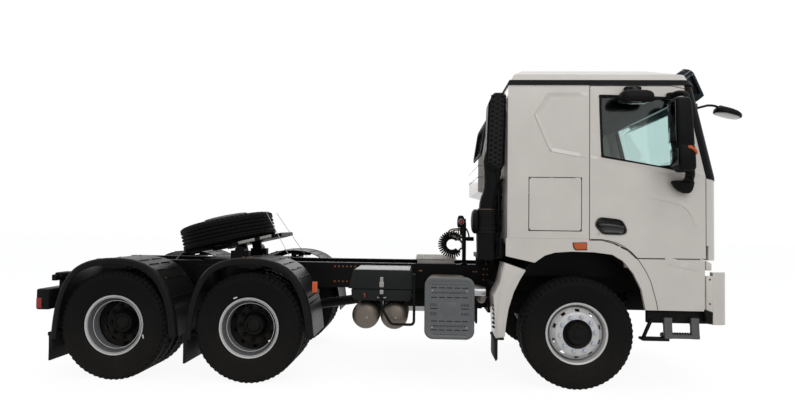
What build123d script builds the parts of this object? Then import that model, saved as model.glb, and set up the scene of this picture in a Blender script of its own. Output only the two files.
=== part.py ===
"""Cab-over tractor unit, 6x4, with its spare wheel lashed on the fifth wheel.

Millimetres.  +X is forward, +Y is the left side, +Z is up, and the ground is Z = 0.
Each piece is one node.  Stations along the chassis are counted from the front axle.
"""
from build123d import *
import math
import os

os.makedirs("parts", exist_ok=True)

# ---------------------------------------------------------------- driving dimensions
FRONT_AXLE_X = 1840.0
WHEELBASE = 3175.0
TANDEM_SPACING = 1350.0
FRONT_TRACK = 2076.0
REAR_TRACK = 1860.0
DUAL_SPACING = 342.0

TYRE_R = 537.0
TYRE_WIDTH = 300.0
TREAD_WIDTH = 226.0
RIM_SEAT_R = 286.0
RIM_FLANGE_R = 298.5
RIM_WIDTH = 254.0
RIM_LIP = 13.0
RIM_WALL = 14.0
STUD_CIRCLE_R = 167.5
HUB_R = 140.5
DRUM_R = 200.0
FRONT_BORE_R = 45.0
REAR_BORE_R = 60.0
RUNNING_GAP = 0.3
DISC_OFFSET = 146.0
HAND_HOLES = 10

RAIL_TOP = 1138.0
RAIL_HEIGHT = 275.0
RAIL_OUTER_Y = 430.0
RAIL_WEB = 9.0
RAIL_FLANGE = 80.0
REAR_OVERHANG = 655.0
RAIL_REAR = -(WHEELBASE + TANDEM_SPACING + REAR_OVERHANG)
RAIL_FRONT = 1230.0
CROSSMEMBER_DEPTH = 90.0

KINGPIN_INSET = 158.0
KINGPIN_Y = FRONT_TRACK / 2 - KINGPIN_INSET
KINGPIN_R = 25.0
SPRING_WIDTH = 90.0
SPRING_DEPTH = 60.0

CAB_SIDE_Y = 1235.0
CAB_WALL = 60.0
CAB_REAR = -680.0
CAB_CORNER = 1195.0
CAB_NOSE = 1390.0
CAB_SKIRT_Z = 1262.0
CAB_FLOOR_Z = 1400.0
FLOOR_THICKNESS = 50.0
CAB_SILL_Z = 1451.0
BELT_Z = 2050.0
GUTTER_Z = 2930.0
ROOF_Z = 3142.0
PILLAR_TOP = 985.0
SCREEN_TOP_NOSE = 1130.0
PANEL_GAP = 8.0
GLASS = 8.0

DOOR_REAR = 102.0
DOOR_FRONT = 1180.0
DOOR_BOTTOM_Z = 1278.0
DOOR_TOP_Z = 2918.0

ARCH_PANEL = 40.0
STEP_BOTTOM_Z = 785.0
STEP_TOP_Z = 1180.0
STEP_FRONT = 1162.0

COUPLING_AHEAD = 308.0
COUPLING_X = -(WHEELBASE + TANDEM_SPACING / 2) + COUPLING_AHEAD
COUPLING_PIVOT_Z = 1250.0
COUPLING_TILT = 13.0
COUPLING_RISE = 105.0
COUPLING_PLATE = 40.0
KINGPIN_BORE_R = 25.4

GUARD_OUTER_Y = 1260.0
GUARD_INNER_Y = 620.0
GUARD_SHEET = 22.0


def station(x):
    """X in the model of a place counted from the front axle."""
    return FRONT_AXLE_X + x


MID_AXLE = -WHEELBASE
REAR_AXLE = -WHEELBASE - TANDEM_SPACING
TANDEM_CENTRE = (MID_AXLE + REAR_AXLE) / 2
WHEEL_Z = TYRE_R
RAIL_BOTTOM = RAIL_TOP - RAIL_HEIGHT
SIDES = {"left": 1, "right": -1}


def save(part, name):
    """Label a finished piece and write its STEP file."""
    part.label = name
    export_step(part, f"parts/{name}.step")


def side_plane(y):
    """Drawing plane seen from the right: local x is forward and local y is up."""
    return Plane(origin=(FRONT_AXLE_X, y, 0), x_dir=(1, 0, 0), z_dir=(0, -1, 0))


def wheel_plane(x, y, side):
    """Half-section plane of a wheel: local x is outboard and local y is radial."""
    return Plane(origin=(station(x), side * y, WHEEL_Z), x_dir=(0, side, 0), z_dir=(side, 0, 0))


def tilted_plane():
    """Plane of the fifth wheel's top face at rest, at its pivot and square to its tilt."""
    tilt = math.radians(COUPLING_TILT)
    normal = Vector(-math.sin(tilt), 0, math.cos(tilt))
    pivot = Vector(station(COUPLING_X), 0, COUPLING_PIVOT_Z)
    return Plane(origin=pivot + normal * COUPLING_RISE,
                 x_dir=(math.cos(tilt), 0, math.sin(tilt)), z_dir=normal)


# ---------------------------------------------------------------- frame
with BuildPart() as frame_rails:
    # columns: side of the truck
    for side in (1, -1):
        with BuildSketch(Plane.YZ.offset(station(RAIL_REAR))):
            with BuildLine():
                web = side * RAIL_OUTER_Y
                web_in = side * (RAIL_OUTER_Y - RAIL_WEB)
                tip = side * (RAIL_OUTER_Y - RAIL_FLANGE)
                Polyline((web, RAIL_BOTTOM), (web, RAIL_TOP), (tip, RAIL_TOP),
                         (tip, RAIL_TOP - RAIL_WEB), (web_in, RAIL_TOP - RAIL_WEB),
                         (web_in, RAIL_BOTTOM + RAIL_WEB), (tip, RAIL_BOTTOM + RAIL_WEB),
                         (tip, RAIL_BOTTOM), close=True)
            make_face()
    extrude(amount=RAIL_FRONT - RAIL_REAR)
    # hangers of the front springs and the saddle of the rear springs
    # columns: station, length, lowest Z, outer Y
    HANGERS = [
        (-760.0, 90.0, 790.0, 462.0),
        (760.0, 90.0, 790.0, 462.0),
        (TANDEM_CENTRE, 260.0, 800.0, 545.0),
    ]
    for x, length, low, outer in HANGERS:
        for side in (1, -1):
            inner = RAIL_OUTER_Y if outer > 500 else RAIL_OUTER_Y - 60
            top = RAIL_TOP - 40 if outer > 500 else RAIL_BOTTOM
            with Locations((station(x), side * (inner + outer) / 2, (low + top) / 2)):
                Box(length, outer - inner, top - low)
save(frame_rails.part, "frame_rails")

CROSSMEMBERS = [RAIL_REAR + 60.0, REAR_AXLE + 225.0, COUPLING_X + 42.0, MID_AXLE + 525.0, -1960.0, 1090.0]
with BuildPart() as crossmembers:
    for x in CROSSMEMBERS:
        with Locations((station(x), 0, RAIL_TOP - RAIL_HEIGHT / 2)):
            Box(CROSSMEMBER_DEPTH, 2 * (RAIL_OUTER_Y - RAIL_WEB), RAIL_HEIGHT - 2 * RAIL_WEB - 60)
save(crossmembers.part, "crossmembers")

# ---------------------------------------------------------------- axles and springs
BEAM_DROP_Z = 440.0
BEAM_HALF = 50.0
EYE_R = 50.0
EYE_HALF = 65.0
with BuildPart() as front_axle_beam:
    with BuildSketch(Plane.YZ.offset(station(-BEAM_HALF))):
        with BuildLine():
            Polyline((-KINGPIN_Y, WHEEL_Z + 45), (-700, WHEEL_Z + 45), (-560, BEAM_DROP_Z + 55),
                     (560, BEAM_DROP_Z + 55), (700, WHEEL_Z + 45), (KINGPIN_Y, WHEEL_Z + 45),
                     (KINGPIN_Y, WHEEL_Z - 45), (720, WHEEL_Z - 45), (580, BEAM_DROP_Z - 45),
                     (-580, BEAM_DROP_Z - 45), (-720, WHEEL_Z - 45), (-KINGPIN_Y, WHEEL_Z - 45),
                     close=True)
        make_face()
    extrude(amount=2 * BEAM_HALF)
    for side in (1, -1):
        with Locations((station(0), side * KINGPIN_Y, WHEEL_Z)):
            Cylinder(EYE_R, 2 * EYE_HALF)
        # seat under each spring
        with Locations((station(0), side * 415, (BEAM_DROP_Z + 55 + 640) / 2)):
            Box(160, SPRING_WIDTH, 640 - BEAM_DROP_Z - 55)
    for side in (1, -1):
        with Locations((station(0), side * KINGPIN_Y, WHEEL_Z)):
            Cylinder(KINGPIN_R + RUNNING_GAP, 4 * EYE_HALF, mode=Mode.SUBTRACT)
save(front_axle_beam.part, "front_axle_beam")

BANJO_R = 205.0
TUBE_R = 72.0
SPINDLE_END = REAR_TRACK / 2 + 55
with BuildPart() as drive_axles:
    for x in (MID_AXLE, REAR_AXLE):
        hub_face = REAR_TRACK / 2 - 238
        with Locations(Location((station(x), 0, WHEEL_Z), (90, 0, 0))):
            Cylinder(TUBE_R, 2 * hub_face)
            Cylinder(REAR_BORE_R - RUNNING_GAP, 2 * SPINDLE_END)
        with Locations(Location((station(x), 0, WHEEL_Z), (0, 90, 0))):
            Cylinder(BANJO_R, 240)
        with Locations(Location((station(x) + 190, 0, WHEEL_Z + 60), (0, 90, 0))):
            Cylinder(85, 260)
        for side in (1, -1):
            with Locations((station(x), side * 490, WHEEL_Z + 80)):
                Box(170, SPRING_WIDTH, 80)
save(drive_axles.part, "drive_axles")

# leaf packs: columns: station of the pack's middle, half length, Y, Z at the ends, Z at the middle
LEAF_PACKS = [
    (0.0, 760.0, 415.0, 760.0, 670.0),
    (TANDEM_CENTRE, TANDEM_SPACING / 2 + 60, 490.0, WHEEL_Z + 150, 770.0),
]
with BuildPart() as leaf_springs:
    for x, half, y, end_z, mid_z in LEAF_PACKS:
        for side in (1, -1):
            with BuildSketch(side_plane(side * y - SPRING_WIDTH / 2)):
                with BuildLine() as leaf_line:
                    ThreePointArc((x - half, end_z), (x, mid_z), (x + half, end_z))
                trace(line_width=SPRING_DEPTH)
            extrude(amount=-SPRING_WIDTH)
save(leaf_springs.part, "leaf_springs")

# ---------------------------------------------------------------- engine, gearbox and shafts
ENGINE = (-760.0, 760.0)
ENGINE_Z = (600.0, 1340.0)
ENGINE_HALF_WIDTH = 330.0
GEARBOX = (-1760.0, -760.0)
GEARBOX_Z = (640.0, 1040.0)
RADIATOR = (760.0, 990.0)
with BuildPart() as engine_block:
    with Locations((station(sum(ENGINE) / 2), 0, sum(ENGINE_Z) / 2)):
        Box(ENGINE[1] - ENGINE[0], 2 * ENGINE_HALF_WIDTH, ENGINE_Z[1] - ENGINE_Z[0])
    with Locations((station(sum(GEARBOX) / 2), 0, sum(GEARBOX_Z) / 2)):
        Box(GEARBOX[1] - GEARBOX[0], 420, GEARBOX_Z[1] - GEARBOX_Z[0])
    with Locations((station(sum(RADIATOR) / 2), 0, 990)):
        Box(RADIATOR[1] - RADIATOR[0], 2 * ENGINE_HALF_WIDTH, 660)
    for x in (-500.0, 500.0):
        for side in (1, -1):
            with Locations((station(x), side * (ENGINE_HALF_WIDTH + RAIL_OUTER_Y - RAIL_WEB) / 2, 1000)):
                Box(160, RAIL_OUTER_Y - RAIL_WEB - ENGINE_HALF_WIDTH, 80)
save(engine_block.part, "engine_block")

SHAFT_R = 55.0
# columns: rear end (station, Z), front end (station, Z)
SHAFTS = [
    ((MID_AXLE + 330, WHEEL_Z + 60), (GEARBOX[0] - 12, 760.0)),
    ((REAR_AXLE + 321, WHEEL_Z + 60), (MID_AXLE - 121, WHEEL_Z + 60)),
]
with BuildPart() as propshafts:
    for (x0, z0), (x1, z1) in SHAFTS:
        start = Vector(station(x0), 0, z0)
        run = Vector(station(x1), 0, z1) - start
        with BuildSketch(Plane(origin=start, x_dir=(0, 1, 0), z_dir=run)):
            Circle(SHAFT_R)
        extrude(amount=run.length)
save(propshafts.part, "propshafts")

# ---------------------------------------------------------------- wheels
def tyre_section(plane, centre):
    """Half section of a tyre: bead, bulging side wall, tread and back."""
    bead = RIM_WIDTH / 2 - RIM_LIP - 1
    half = TYRE_WIDTH / 2
    tread = TREAD_WIDTH / 2
    with BuildSketch(plane) as section:
        with BuildLine():
            Polyline((centre + bead, RIM_SEAT_R + 16), (centre + bead, RIM_SEAT_R),
                     (centre - bead, RIM_SEAT_R), (centre - bead, RIM_SEAT_R + 16))
            ThreePointArc((centre - bead, RIM_SEAT_R + 16), (centre - half, 420), (centre - tread - 16, TYRE_R - 22))
            Polyline((centre - tread - 16, TYRE_R - 22), (centre - tread, TYRE_R),
                     (centre + tread, TYRE_R), (centre + tread + 16, TYRE_R - 22))
            ThreePointArc((centre + tread + 16, TYRE_R - 22), (centre + half, 420), (centre + bead, RIM_SEAT_R + 16))
        make_face()
    return section.sketch


def rim_section(plane, centre, disc_face, out):
    """Half section of a rim and its disc, which meets the hub at disc_face.

    out is +1 where the rim lies outboard of the disc's face and -1 where it lies inboard.
    """
    half = RIM_WIDTH / 2
    seat = half - RIM_LIP
    inner = RIM_SEAT_R - RIM_WALL
    join = disc_face + out * 62
    with BuildSketch(plane) as section:
        with BuildLine():
            Polyline((centre - half, inner), (centre - half, RIM_FLANGE_R), (centre - seat, RIM_FLANGE_R),
                     (centre - seat, RIM_SEAT_R), (centre + seat, RIM_SEAT_R), (centre + seat, RIM_FLANGE_R),
                     (centre + half, RIM_FLANGE_R), (centre + half, inner), close=True)
        make_face()
        with BuildLine():
            Polyline((join, inner + 4), (join + out * 22, inner + 4), (disc_face + out * 30, 208),
                     (disc_face + out * 14, 196), (disc_face + out * 14, HUB_R - 2),
                     (disc_face, HUB_R - 2), (disc_face, 200), (disc_face + out * 10, 214), close=True)
        make_face()
    return section.sketch


def hub_section(plane, points):
    """Half section of a hub and brake drum through the given points."""
    with BuildSketch(plane) as section:
        with BuildLine():
            Polyline(*points, close=True)
        make_face()
    return section.sketch


def hand_holes(plane, radius):
    """Ring of round-ended hand holes, drawn in a plane across the wheel."""
    with BuildSketch(plane) as section:
        with PolarLocations(radius, HAND_HOLES):
            SlotOverall(52, 24, rotation=90)
    return section.sketch


FRONT_HUB = [(180, 0), (180, 60), (168, 78), (DISC_OFFSET, HUB_R), (DISC_OFFSET - 16, HUB_R), (60, 120),
             (60, DRUM_R), (-85, DRUM_R), (-85, FRONT_BORE_R), (120, FRONT_BORE_R), (120, 0)]
REAR_HUB = [(150, 0), (150, 62), (138, 78), (16, HUB_R), (-2, HUB_R), (-40, 130), (-40, DRUM_R),
            (-230, DRUM_R), (-230, REAR_BORE_R), (60, REAR_BORE_R), (60, 0)]

for side_name, side in SIDES.items():
    centre_y = FRONT_TRACK / 2
    plane = wheel_plane(0, centre_y, side)
    spin = Axis((station(0), side * centre_y, WHEEL_Z), (0, 1, 0))
    with BuildPart() as tyre_front:
        revolve(tyre_section(plane, 0), axis=spin)
    save(tyre_front.part, f"tyre_front_{side_name}")
    with BuildPart() as rim_front:
        revolve(rim_section(plane, 0, DISC_OFFSET, -1), axis=spin)
        revolve(hub_section(plane, FRONT_HUB), axis=spin)
        across = Plane(origin=(station(0), side * (centre_y + 105), WHEEL_Z), x_dir=(1, 0, 0), z_dir=(0, side, 0))
        extrude(hand_holes(across, 236), amount=60, mode=Mode.SUBTRACT)
    save(rim_front.part, f"rim_front_{side_name}")

    for axle_name, axle in (("mid", MID_AXLE), ("rear", REAR_AXLE)):
        centre_y = REAR_TRACK / 2
        plane = wheel_plane(axle, centre_y, side)
        spin = Axis((station(axle), side * centre_y, WHEEL_Z), (0, 1, 0))
        with BuildPart() as tyres_dual:
            for centre in (-DUAL_SPACING / 2, DUAL_SPACING / 2):
                revolve(tyre_section(plane, centre), axis=spin)
        save(tyres_dual.part, f"tyres_{axle_name}_{side_name}")
        with BuildPart() as rims_dual:
            revolve(rim_section(plane, DUAL_SPACING / 2, 0, 1), axis=spin)
            revolve(rim_section(plane, -DUAL_SPACING / 2, 0, -1), axis=spin)
            revolve(hub_section(plane, REAR_HUB), axis=spin)
            across = Plane(origin=(station(axle), side * (centre_y - 60), WHEEL_Z),
                           x_dir=(1, 0, 0), z_dir=(0, side, 0))
            extrude(hand_holes(across, 236), amount=120, mode=Mode.SUBTRACT)
        save(rims_dual.part, f"rims_{axle_name}_{side_name}")

# ---------------------------------------------------------------- knuckles and tie rod
YOKE_INNER = KINGPIN_Y - 62.0
YOKE_OUTER = KINGPIN_Y + 67.0
LUG_Z = (70.0, 112.0)
ARM_X = -230.0
ARM_Z = 447.0
ARM_PIN_R = 14.0
for side_name, side in SIDES.items():
    with BuildPart() as knuckle:
        for sign in (1, -1):
            with Locations((station(0), side * (YOKE_INNER + YOKE_OUTER) / 2, WHEEL_Z + sign * sum(LUG_Z) / 2)):
                Box(96, YOKE_OUTER - YOKE_INNER, LUG_Z[1] - LUG_Z[0])
        with Locations((station(0), side * (YOKE_OUTER - 5), WHEEL_Z)):
            Box(96, 10, 2 * LUG_Z[1])
        with Locations((station(0), side * KINGPIN_Y, WHEEL_Z)):
            Cylinder(KINGPIN_R, 2 * LUG_Z[1])
        stub_end = FRONT_TRACK / 2 + 115
        with Locations(Location((station(0), side * (YOKE_OUTER - 8 + stub_end) / 2, WHEEL_Z), (90, 0, 0))):
            Cylinder(FRONT_BORE_R - RUNNING_GAP, stub_end - YOKE_OUTER + 8)
        with Locations((station(ARM_X / 2 - 12), side * KINGPIN_Y, ARM_Z)):
            Box(-ARM_X + 50, 50, 36)
        with Locations((station(ARM_X), side * KINGPIN_Y, ARM_Z + 40)):
            Cylinder(ARM_PIN_R, 60)
    save(knuckle.part, f"knuckle_{side_name}")

ROD_Z = ARM_Z + 45
with BuildPart() as tie_rod:
    with Locations(Location((station(ARM_X), 0, ROD_Z), (90, 0, 0))):
        Cylinder(20, 2 * KINGPIN_Y)
    for side in (1, -1):
        with Locations((station(ARM_X), side * KINGPIN_Y, ROD_Z)):
            Cylinder(30, 52)
    for side in (1, -1):
        with Locations((station(ARM_X), side * KINGPIN_Y, ROD_Z)):
            Cylinder(ARM_PIN_R + RUNNING_GAP, 60, mode=Mode.SUBTRACT)
save(tie_rod.part, "tie_rod")

# ---------------------------------------------------------------- cab shell
# cab outlines seen from above: columns: Z, side Y, rear, front corner, nose
LOWER_SECTION = (CAB_SKIRT_Z, CAB_SIDE_Y, CAB_REAR, CAB_CORNER, CAB_NOSE)
BELT_SECTION = (BELT_Z, CAB_SIDE_Y, CAB_REAR, CAB_CORNER, CAB_NOSE)
GUTTER_SECTION = (GUTTER_Z, CAB_SIDE_Y, CAB_REAR, PILLAR_TOP, SCREEN_TOP_NOSE)
ROOF_SECTION = (ROOF_Z - 92, CAB_SIDE_Y - 75, CAB_REAR + 68, PILLAR_TOP - 30, SCREEN_TOP_NOSE)
TOP_SECTION = (ROOF_Z, CAB_SIDE_Y - 300, CAB_REAR + 180, PILLAR_TOP - 270, SCREEN_TOP_NOSE - 280)
CORNER_REACH = 100.0
CORNER_SETBACK = 130.0
CORNER_BULGE = 0.75


def cab_section(row, inset, drop=0.0):
    """Outline of the cab seen from above, drawn inset from the outer skin and lowered by drop."""
    z, side_y, rear_x, corner, nose = row
    side = side_y - inset
    rear = rear_x + inset
    shoulder = corner + CORNER_REACH - inset
    shoulder_y = side_y - CORNER_SETBACK - inset
    mid_x = corner + CORNER_BULGE * (shoulder - corner)
    mid_y = shoulder_y + CORNER_BULGE * (side - shoulder_y)
    with BuildSketch(Plane(origin=(FRONT_AXLE_X, 0, z - drop))) as section:
        with BuildLine():
            Line((corner, side), (rear, side))
            Line((rear, side), (rear, -side))
            Line((rear, -side), (corner, -side))
            ThreePointArc((corner, -side), (mid_x, -mid_y), (shoulder, -shoulder_y))
            ThreePointArc((shoulder, -shoulder_y), (nose - inset, 0), (shoulder, shoulder_y))
            ThreePointArc((shoulder, shoulder_y), (mid_x, mid_y), (corner, side))
        make_face()
    return section.sketch


def cab_body(inset, low_z):
    """Closed cab form: upright lower body, leaning greenhouse and domed roof, all drawn inset."""
    with BuildPart() as body:
        extrude(cab_section(LOWER_SECTION, inset, CAB_SKIRT_Z - low_z), amount=BELT_Z - low_z)
        rows = [BELT_SECTION, GUTTER_SECTION, ROOF_SECTION, TOP_SECTION]
        drops = [0, 0, inset * 0.5, inset]
        for index in range(3):
            loft(sections=[cab_section(rows[index], inset, drops[index]).face(),
                           cab_section(rows[index + 1], inset, drops[index + 1]).face()])
    return body.part


DOOR_OUTLINE = [(DOOR_REAR, CAB_SILL_Z), (DOOR_REAR, DOOR_TOP_Z), (868, DOOR_TOP_Z), (985, DOOR_TOP_Z - 28),
                (1022, 2800), (1080, 2490), (DOOR_FRONT, BELT_Z + 12), (DOOR_FRONT, DOOR_BOTTOM_Z), (548, DOOR_BOTTOM_Z),
                (468, 1352), (333, 1418), (217, CAB_SILL_Z)]
WINDOW_OUTLINE = [(196, 2826), (218, 2240), (946, 2108), (1040, 2100), (1000, 2480), (930, 2800)]
WINDOW_CORNER_R = 40.0
# pressed bowl behind the door's handle
HANDLE_OUTLINE = [(155, 1585), (168, 1625), (200, 1652), (290, 1648), (382, 1633), (420, 1598), (442, 1545), (434, 1511),
                  (398, 1499), (290, 1499), (226, 1505), (184, 1543)]
HANDLE_DEPTH = 28.0
HANDLE_RIM = 10.0
HANDLE_RISE = 14.0
SCREEN_HALF_WIDTH = 1095.0
SCREEN_Z = (BELT_Z + 55.0, GUTTER_Z - 75.0)
REAR_WINDOW = (450.0, 2365.0, 2712.0)
# bulge of the rear wall: half width, then its outline behind the wall: columns: distance behind the wall, Z
BULGE_HALF_WIDTH = 600.0
BULGE_WALL = 45.0
BULGE_OUTLINE = [(0, 2810), (110, 2740), (170, 2340), (225, 2280), (225, 1930), (0, 1870)]
HATCH = (-472.0, 19.0, 1528.0, 2031.0)
HATCH_CORNER_R = 26.0


def door_blank(grow):
    """Door outline in the side plane, grown by a gap, as a face."""
    with BuildSketch(side_plane(0)) as outline:
        with BuildLine():
            Polyline(*DOOR_OUTLINE, close=True)
        make_face()
        if grow:
            offset(amount=grow, kind=Kind.INTERSECTION)
    return outline.sketch


def handle_face(y, grow):
    """Outline of the handle's bowl in a side plane, grown by a rim, as a face."""
    with BuildSketch(side_plane(y)) as outline:
        with BuildLine():
            Polyline(*HANDLE_OUTLINE, close=True)
        make_face()
        if grow:
            offset(amount=grow, kind=Kind.INTERSECTION)
    return outline.sketch


def across_cab(sketch, y0, y1):
    """Solid of a side-plane sketch between two Y places."""
    return extrude(Location((0, y0, 0)) * sketch, amount=y1 - y0, dir=(0, 1, 0), mode=Mode.PRIVATE)


cab_outer = cab_body(0, CAB_SKIRT_Z)
cab_inner = cab_body(CAB_WALL, CAB_FLOOR_Z + FLOOR_THICKNESS)
REACH = 2.5 * CAB_SIDE_Y
wall_in = CAB_SIDE_Y - CAB_WALL
screen_block = Pos(station(CAB_NOSE), 0, sum(SCREEN_Z) / 2) * Box(1000, 2 * SCREEN_HALF_WIDTH, SCREEN_Z[1] - SCREEN_Z[0])
BULGE_DEPTH = BULGE_OUTLINE[3][0]
rear_window_block = (Pos(station(CAB_REAR - BULGE_DEPTH / 2), 0, (REAR_WINDOW[1] + REAR_WINDOW[2]) / 2)
                     * Box(BULGE_DEPTH, 2 * REAR_WINDOW[0], REAR_WINDOW[2] - REAR_WINDOW[1]))


def bulge_form(inset, depth):
    """The rear bulge drawn inset from its outer skin, closed at depth inside the wall's outer face."""
    outline = [(CAB_REAR - x, z) for x, z in BULGE_OUTLINE]
    if depth:
        outline += [(CAB_REAR + depth, BULGE_OUTLINE[-1][1]), (CAB_REAR + depth, BULGE_OUTLINE[0][1])]
    with BuildPart() as form:
        with BuildSketch(side_plane(-(BULGE_HALF_WIDTH - inset))):
            with BuildLine():
                Polyline(*outline, close=True)
            make_face()
            if inset:
                offset(amount=-inset, kind=Kind.INTERSECTION)
        extrude(amount=-2 * (BULGE_HALF_WIDTH - inset))
    return form.part


bulge_inside = bulge_form(BULGE_WALL, CAB_WALL + 2 * BULGE_WALL)
doorway_block = Pos(station(600), 0, 2150) * Box(2000, 2 * REACH, 1400)
doorway = across_cab(door_blank(-45), -REACH, REACH) & doorway_block

with BuildPart() as cab_shell:
    add(cab_outer)
    add(cab_inner, mode=Mode.SUBTRACT)
    # below the floor only the nose panel is left
    with BuildSketch(Plane(origin=(FRONT_AXLE_X, 0, 0))):
        with BuildLine():
            nose_in = CAB_CORNER + 100 - CAB_WALL
            Line((-REACH, REACH), (-REACH, -REACH))
            Line((-REACH, -REACH), (CAB_CORNER + 10, -REACH))
            Line((CAB_CORNER + 10, -REACH), (CAB_CORNER + 10, -wall_in))
            ThreePointArc((CAB_CORNER + 10, -wall_in), (CAB_NOSE - CAB_WALL, 0), (CAB_CORNER + 10, wall_in))
            Line((CAB_CORNER + 10, wall_in), (CAB_CORNER + 10, REACH))
            Line((CAB_CORNER + 10, REACH), (-REACH, REACH))
        make_face()
    extrude(amount=CAB_FLOOR_Z, mode=Mode.SUBTRACT)
    # side walls end at the sill behind the door
    for side in (1, -1):
        with Locations((station(DOOR_FRONT + PANEL_GAP - REACH / 2), side * (wall_in + REACH / 2), CAB_SILL_Z - 500)):
            Box(REACH, REACH, 1000, mode=Mode.SUBTRACT)
    add(across_cab(door_blank(PANEL_GAP), -REACH, -wall_in + 1), mode=Mode.SUBTRACT)
    add(across_cab(door_blank(PANEL_GAP), wall_in - 1, REACH), mode=Mode.SUBTRACT)
    # door frames: the openings inside the doors' rims
    add(doorway, mode=Mode.SUBTRACT)
    # windscreen and rear window
    add(screen_block, mode=Mode.SUBTRACT)
    add(bulge_inside, mode=Mode.SUBTRACT)
    # locker openings in the side walls
    for side in (1, -1):
        with Locations((station((HATCH[0] + HATCH[1]) / 2), side * CAB_SIDE_Y, (HATCH[2] + HATCH[3]) / 2)):
            Box(HATCH[1] - HATCH[0] + 2 * PANEL_GAP, 3 * CAB_WALL, HATCH[3] - HATCH[2] + 2 * PANEL_GAP,
                mode=Mode.SUBTRACT)
save(cab_shell.part, "cab_shell")

with BuildPart() as cab_bulge:
    add(bulge_form(0, 0))
    add(bulge_inside, mode=Mode.SUBTRACT)
    add(rear_window_block, mode=Mode.SUBTRACT)
save(cab_bulge.part, "cab_bulge")

# ---------------------------------------------------------------- doors, lockers and glass
for side_name, side in SIDES.items():
    with BuildPart() as door_panel:
        add(across_cab(door_blank(0), side * wall_in, side * CAB_SIDE_Y))
        with BuildSketch(side_plane(0)) as window:
            with BuildLine():
                FilletPolyline(*WINDOW_OUTLINE, radius=WINDOW_CORNER_R, close=True)
            make_face()
        extrude(amount=REACH, both=True, mode=Mode.SUBTRACT)
        extrude(handle_face(side * CAB_SIDE_Y, 0), amount=HANDLE_DEPTH, dir=(0, -side, 0), mode=Mode.SUBTRACT)
    save(door_panel.part, f"door_panel_{side_name}")

    with BuildPart() as door_glass:
        glass_y = side * (CAB_SIDE_Y - 30)
        add(across_cab(window.sketch, glass_y, glass_y + side * GLASS))
    save(door_glass.part, f"door_glass_{side_name}")

    with BuildPart() as locker_lid:
        with BuildSketch(side_plane(side * CAB_SIDE_Y)):
            with Locations(((HATCH[0] + HATCH[1]) / 2, (HATCH[2] + HATCH[3]) / 2)):
                RectangleRounded(HATCH[1] - HATCH[0], HATCH[3] - HATCH[2], HATCH_CORNER_R)
        extrude(amount=side * CAB_WALL * 0.5, dir=(0, -1, 0))
    save(locker_lid.part, f"locker_lid_{side_name}")

GLASS_INSET = 12.0
windscreen = (cab_body(GLASS_INSET, CAB_FLOOR_Z) - cab_body(GLASS_INSET + GLASS, CAB_FLOOR_Z - 20)) & screen_block
rear_pane = (bulge_form(GLASS_INSET, CAB_WALL) - bulge_form(GLASS_INSET + GLASS, CAB_WALL)) & rear_window_block
with BuildPart() as cab_glass:
    add(windscreen)
    add(rear_pane)
save(cab_glass.part, "cab_glass")

# ---------------------------------------------------------------- cab pieces
TRIM = 14.0
cab_band = cab_body(-TRIM, CAB_SKIRT_Z) - cab_body(0, CAB_SKIRT_Z - 50)
gutter_zone = Pos(station(0), 0, (GUTTER_Z - 2 + GUTTER_Z + 52) / 2) * Box(4000, 4000, 54)
GRILLE_HALF_WIDTH = 820.0
GRILLE_Z = (1330.0, 1960.0)
grille_zone = (Pos(station(CAB_NOSE), 0, sum(GRILLE_Z) / 2)
               * Box(700, 2 * GRILLE_HALF_WIDTH, GRILLE_Z[1] - GRILLE_Z[0]))
gutter_strip = cab_band & gutter_zone
grille_panel = cab_band & grille_zone
with BuildPart() as cab_trim:
    add(gutter_strip)
    add(grille_panel)
save(cab_trim.part, "cab_trim")

# arch panel outline: rear quarter, round the arch and down the step panel
ARCH_TOP_Z = CAB_SILL_Z - 1
with BuildPart() as arch_panels:
    for side in (1, -1):
        with BuildSketch(side_plane(side * CAB_SIDE_Y)):
            with BuildLine():
                Polyline((-692, ARCH_TOP_Z), (-692, 1276), (-418, 1217), (-323, 1286), (-229, 1316), (-71, 1328),
                         (139, 1325), (314, 1304), (411, 1247), (507, 1133), (584, 980), (623, STEP_BOTTOM_Z),
                         (STEP_FRONT, STEP_BOTTOM_Z), (STEP_FRONT, STEP_TOP_Z), (STEP_FRONT, DOOR_BOTTOM_Z - 12),
                         (535, DOOR_BOTTOM_Z - 12), (455, 1340), (325, 1404), (213, CAB_SILL_Z - 16),
                         (DOOR_REAR - 6, CAB_SILL_Z - 16), (DOOR_REAR - 6, ARCH_TOP_Z), close=True)
            make_face()
        extrude(amount=side * ARCH_PANEL, dir=(0, -1, 0))
        # backing behind the door's foot carries the step panel from the floor
        with Locations((station((455 + STEP_FRONT) / 2), side * (wall_in - PANEL_GAP - 20), 1290)):
            Box(STEP_FRONT - 455, 40, 2 * (CAB_FLOOR_Z - 1290))
        with Locations((station((560 + STEP_FRONT) / 2), side * (wall_in - 18), 1225)):
            Box(STEP_FRONT - 560, 60, 60)
save(arch_panels.part, "arch_panels")

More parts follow.
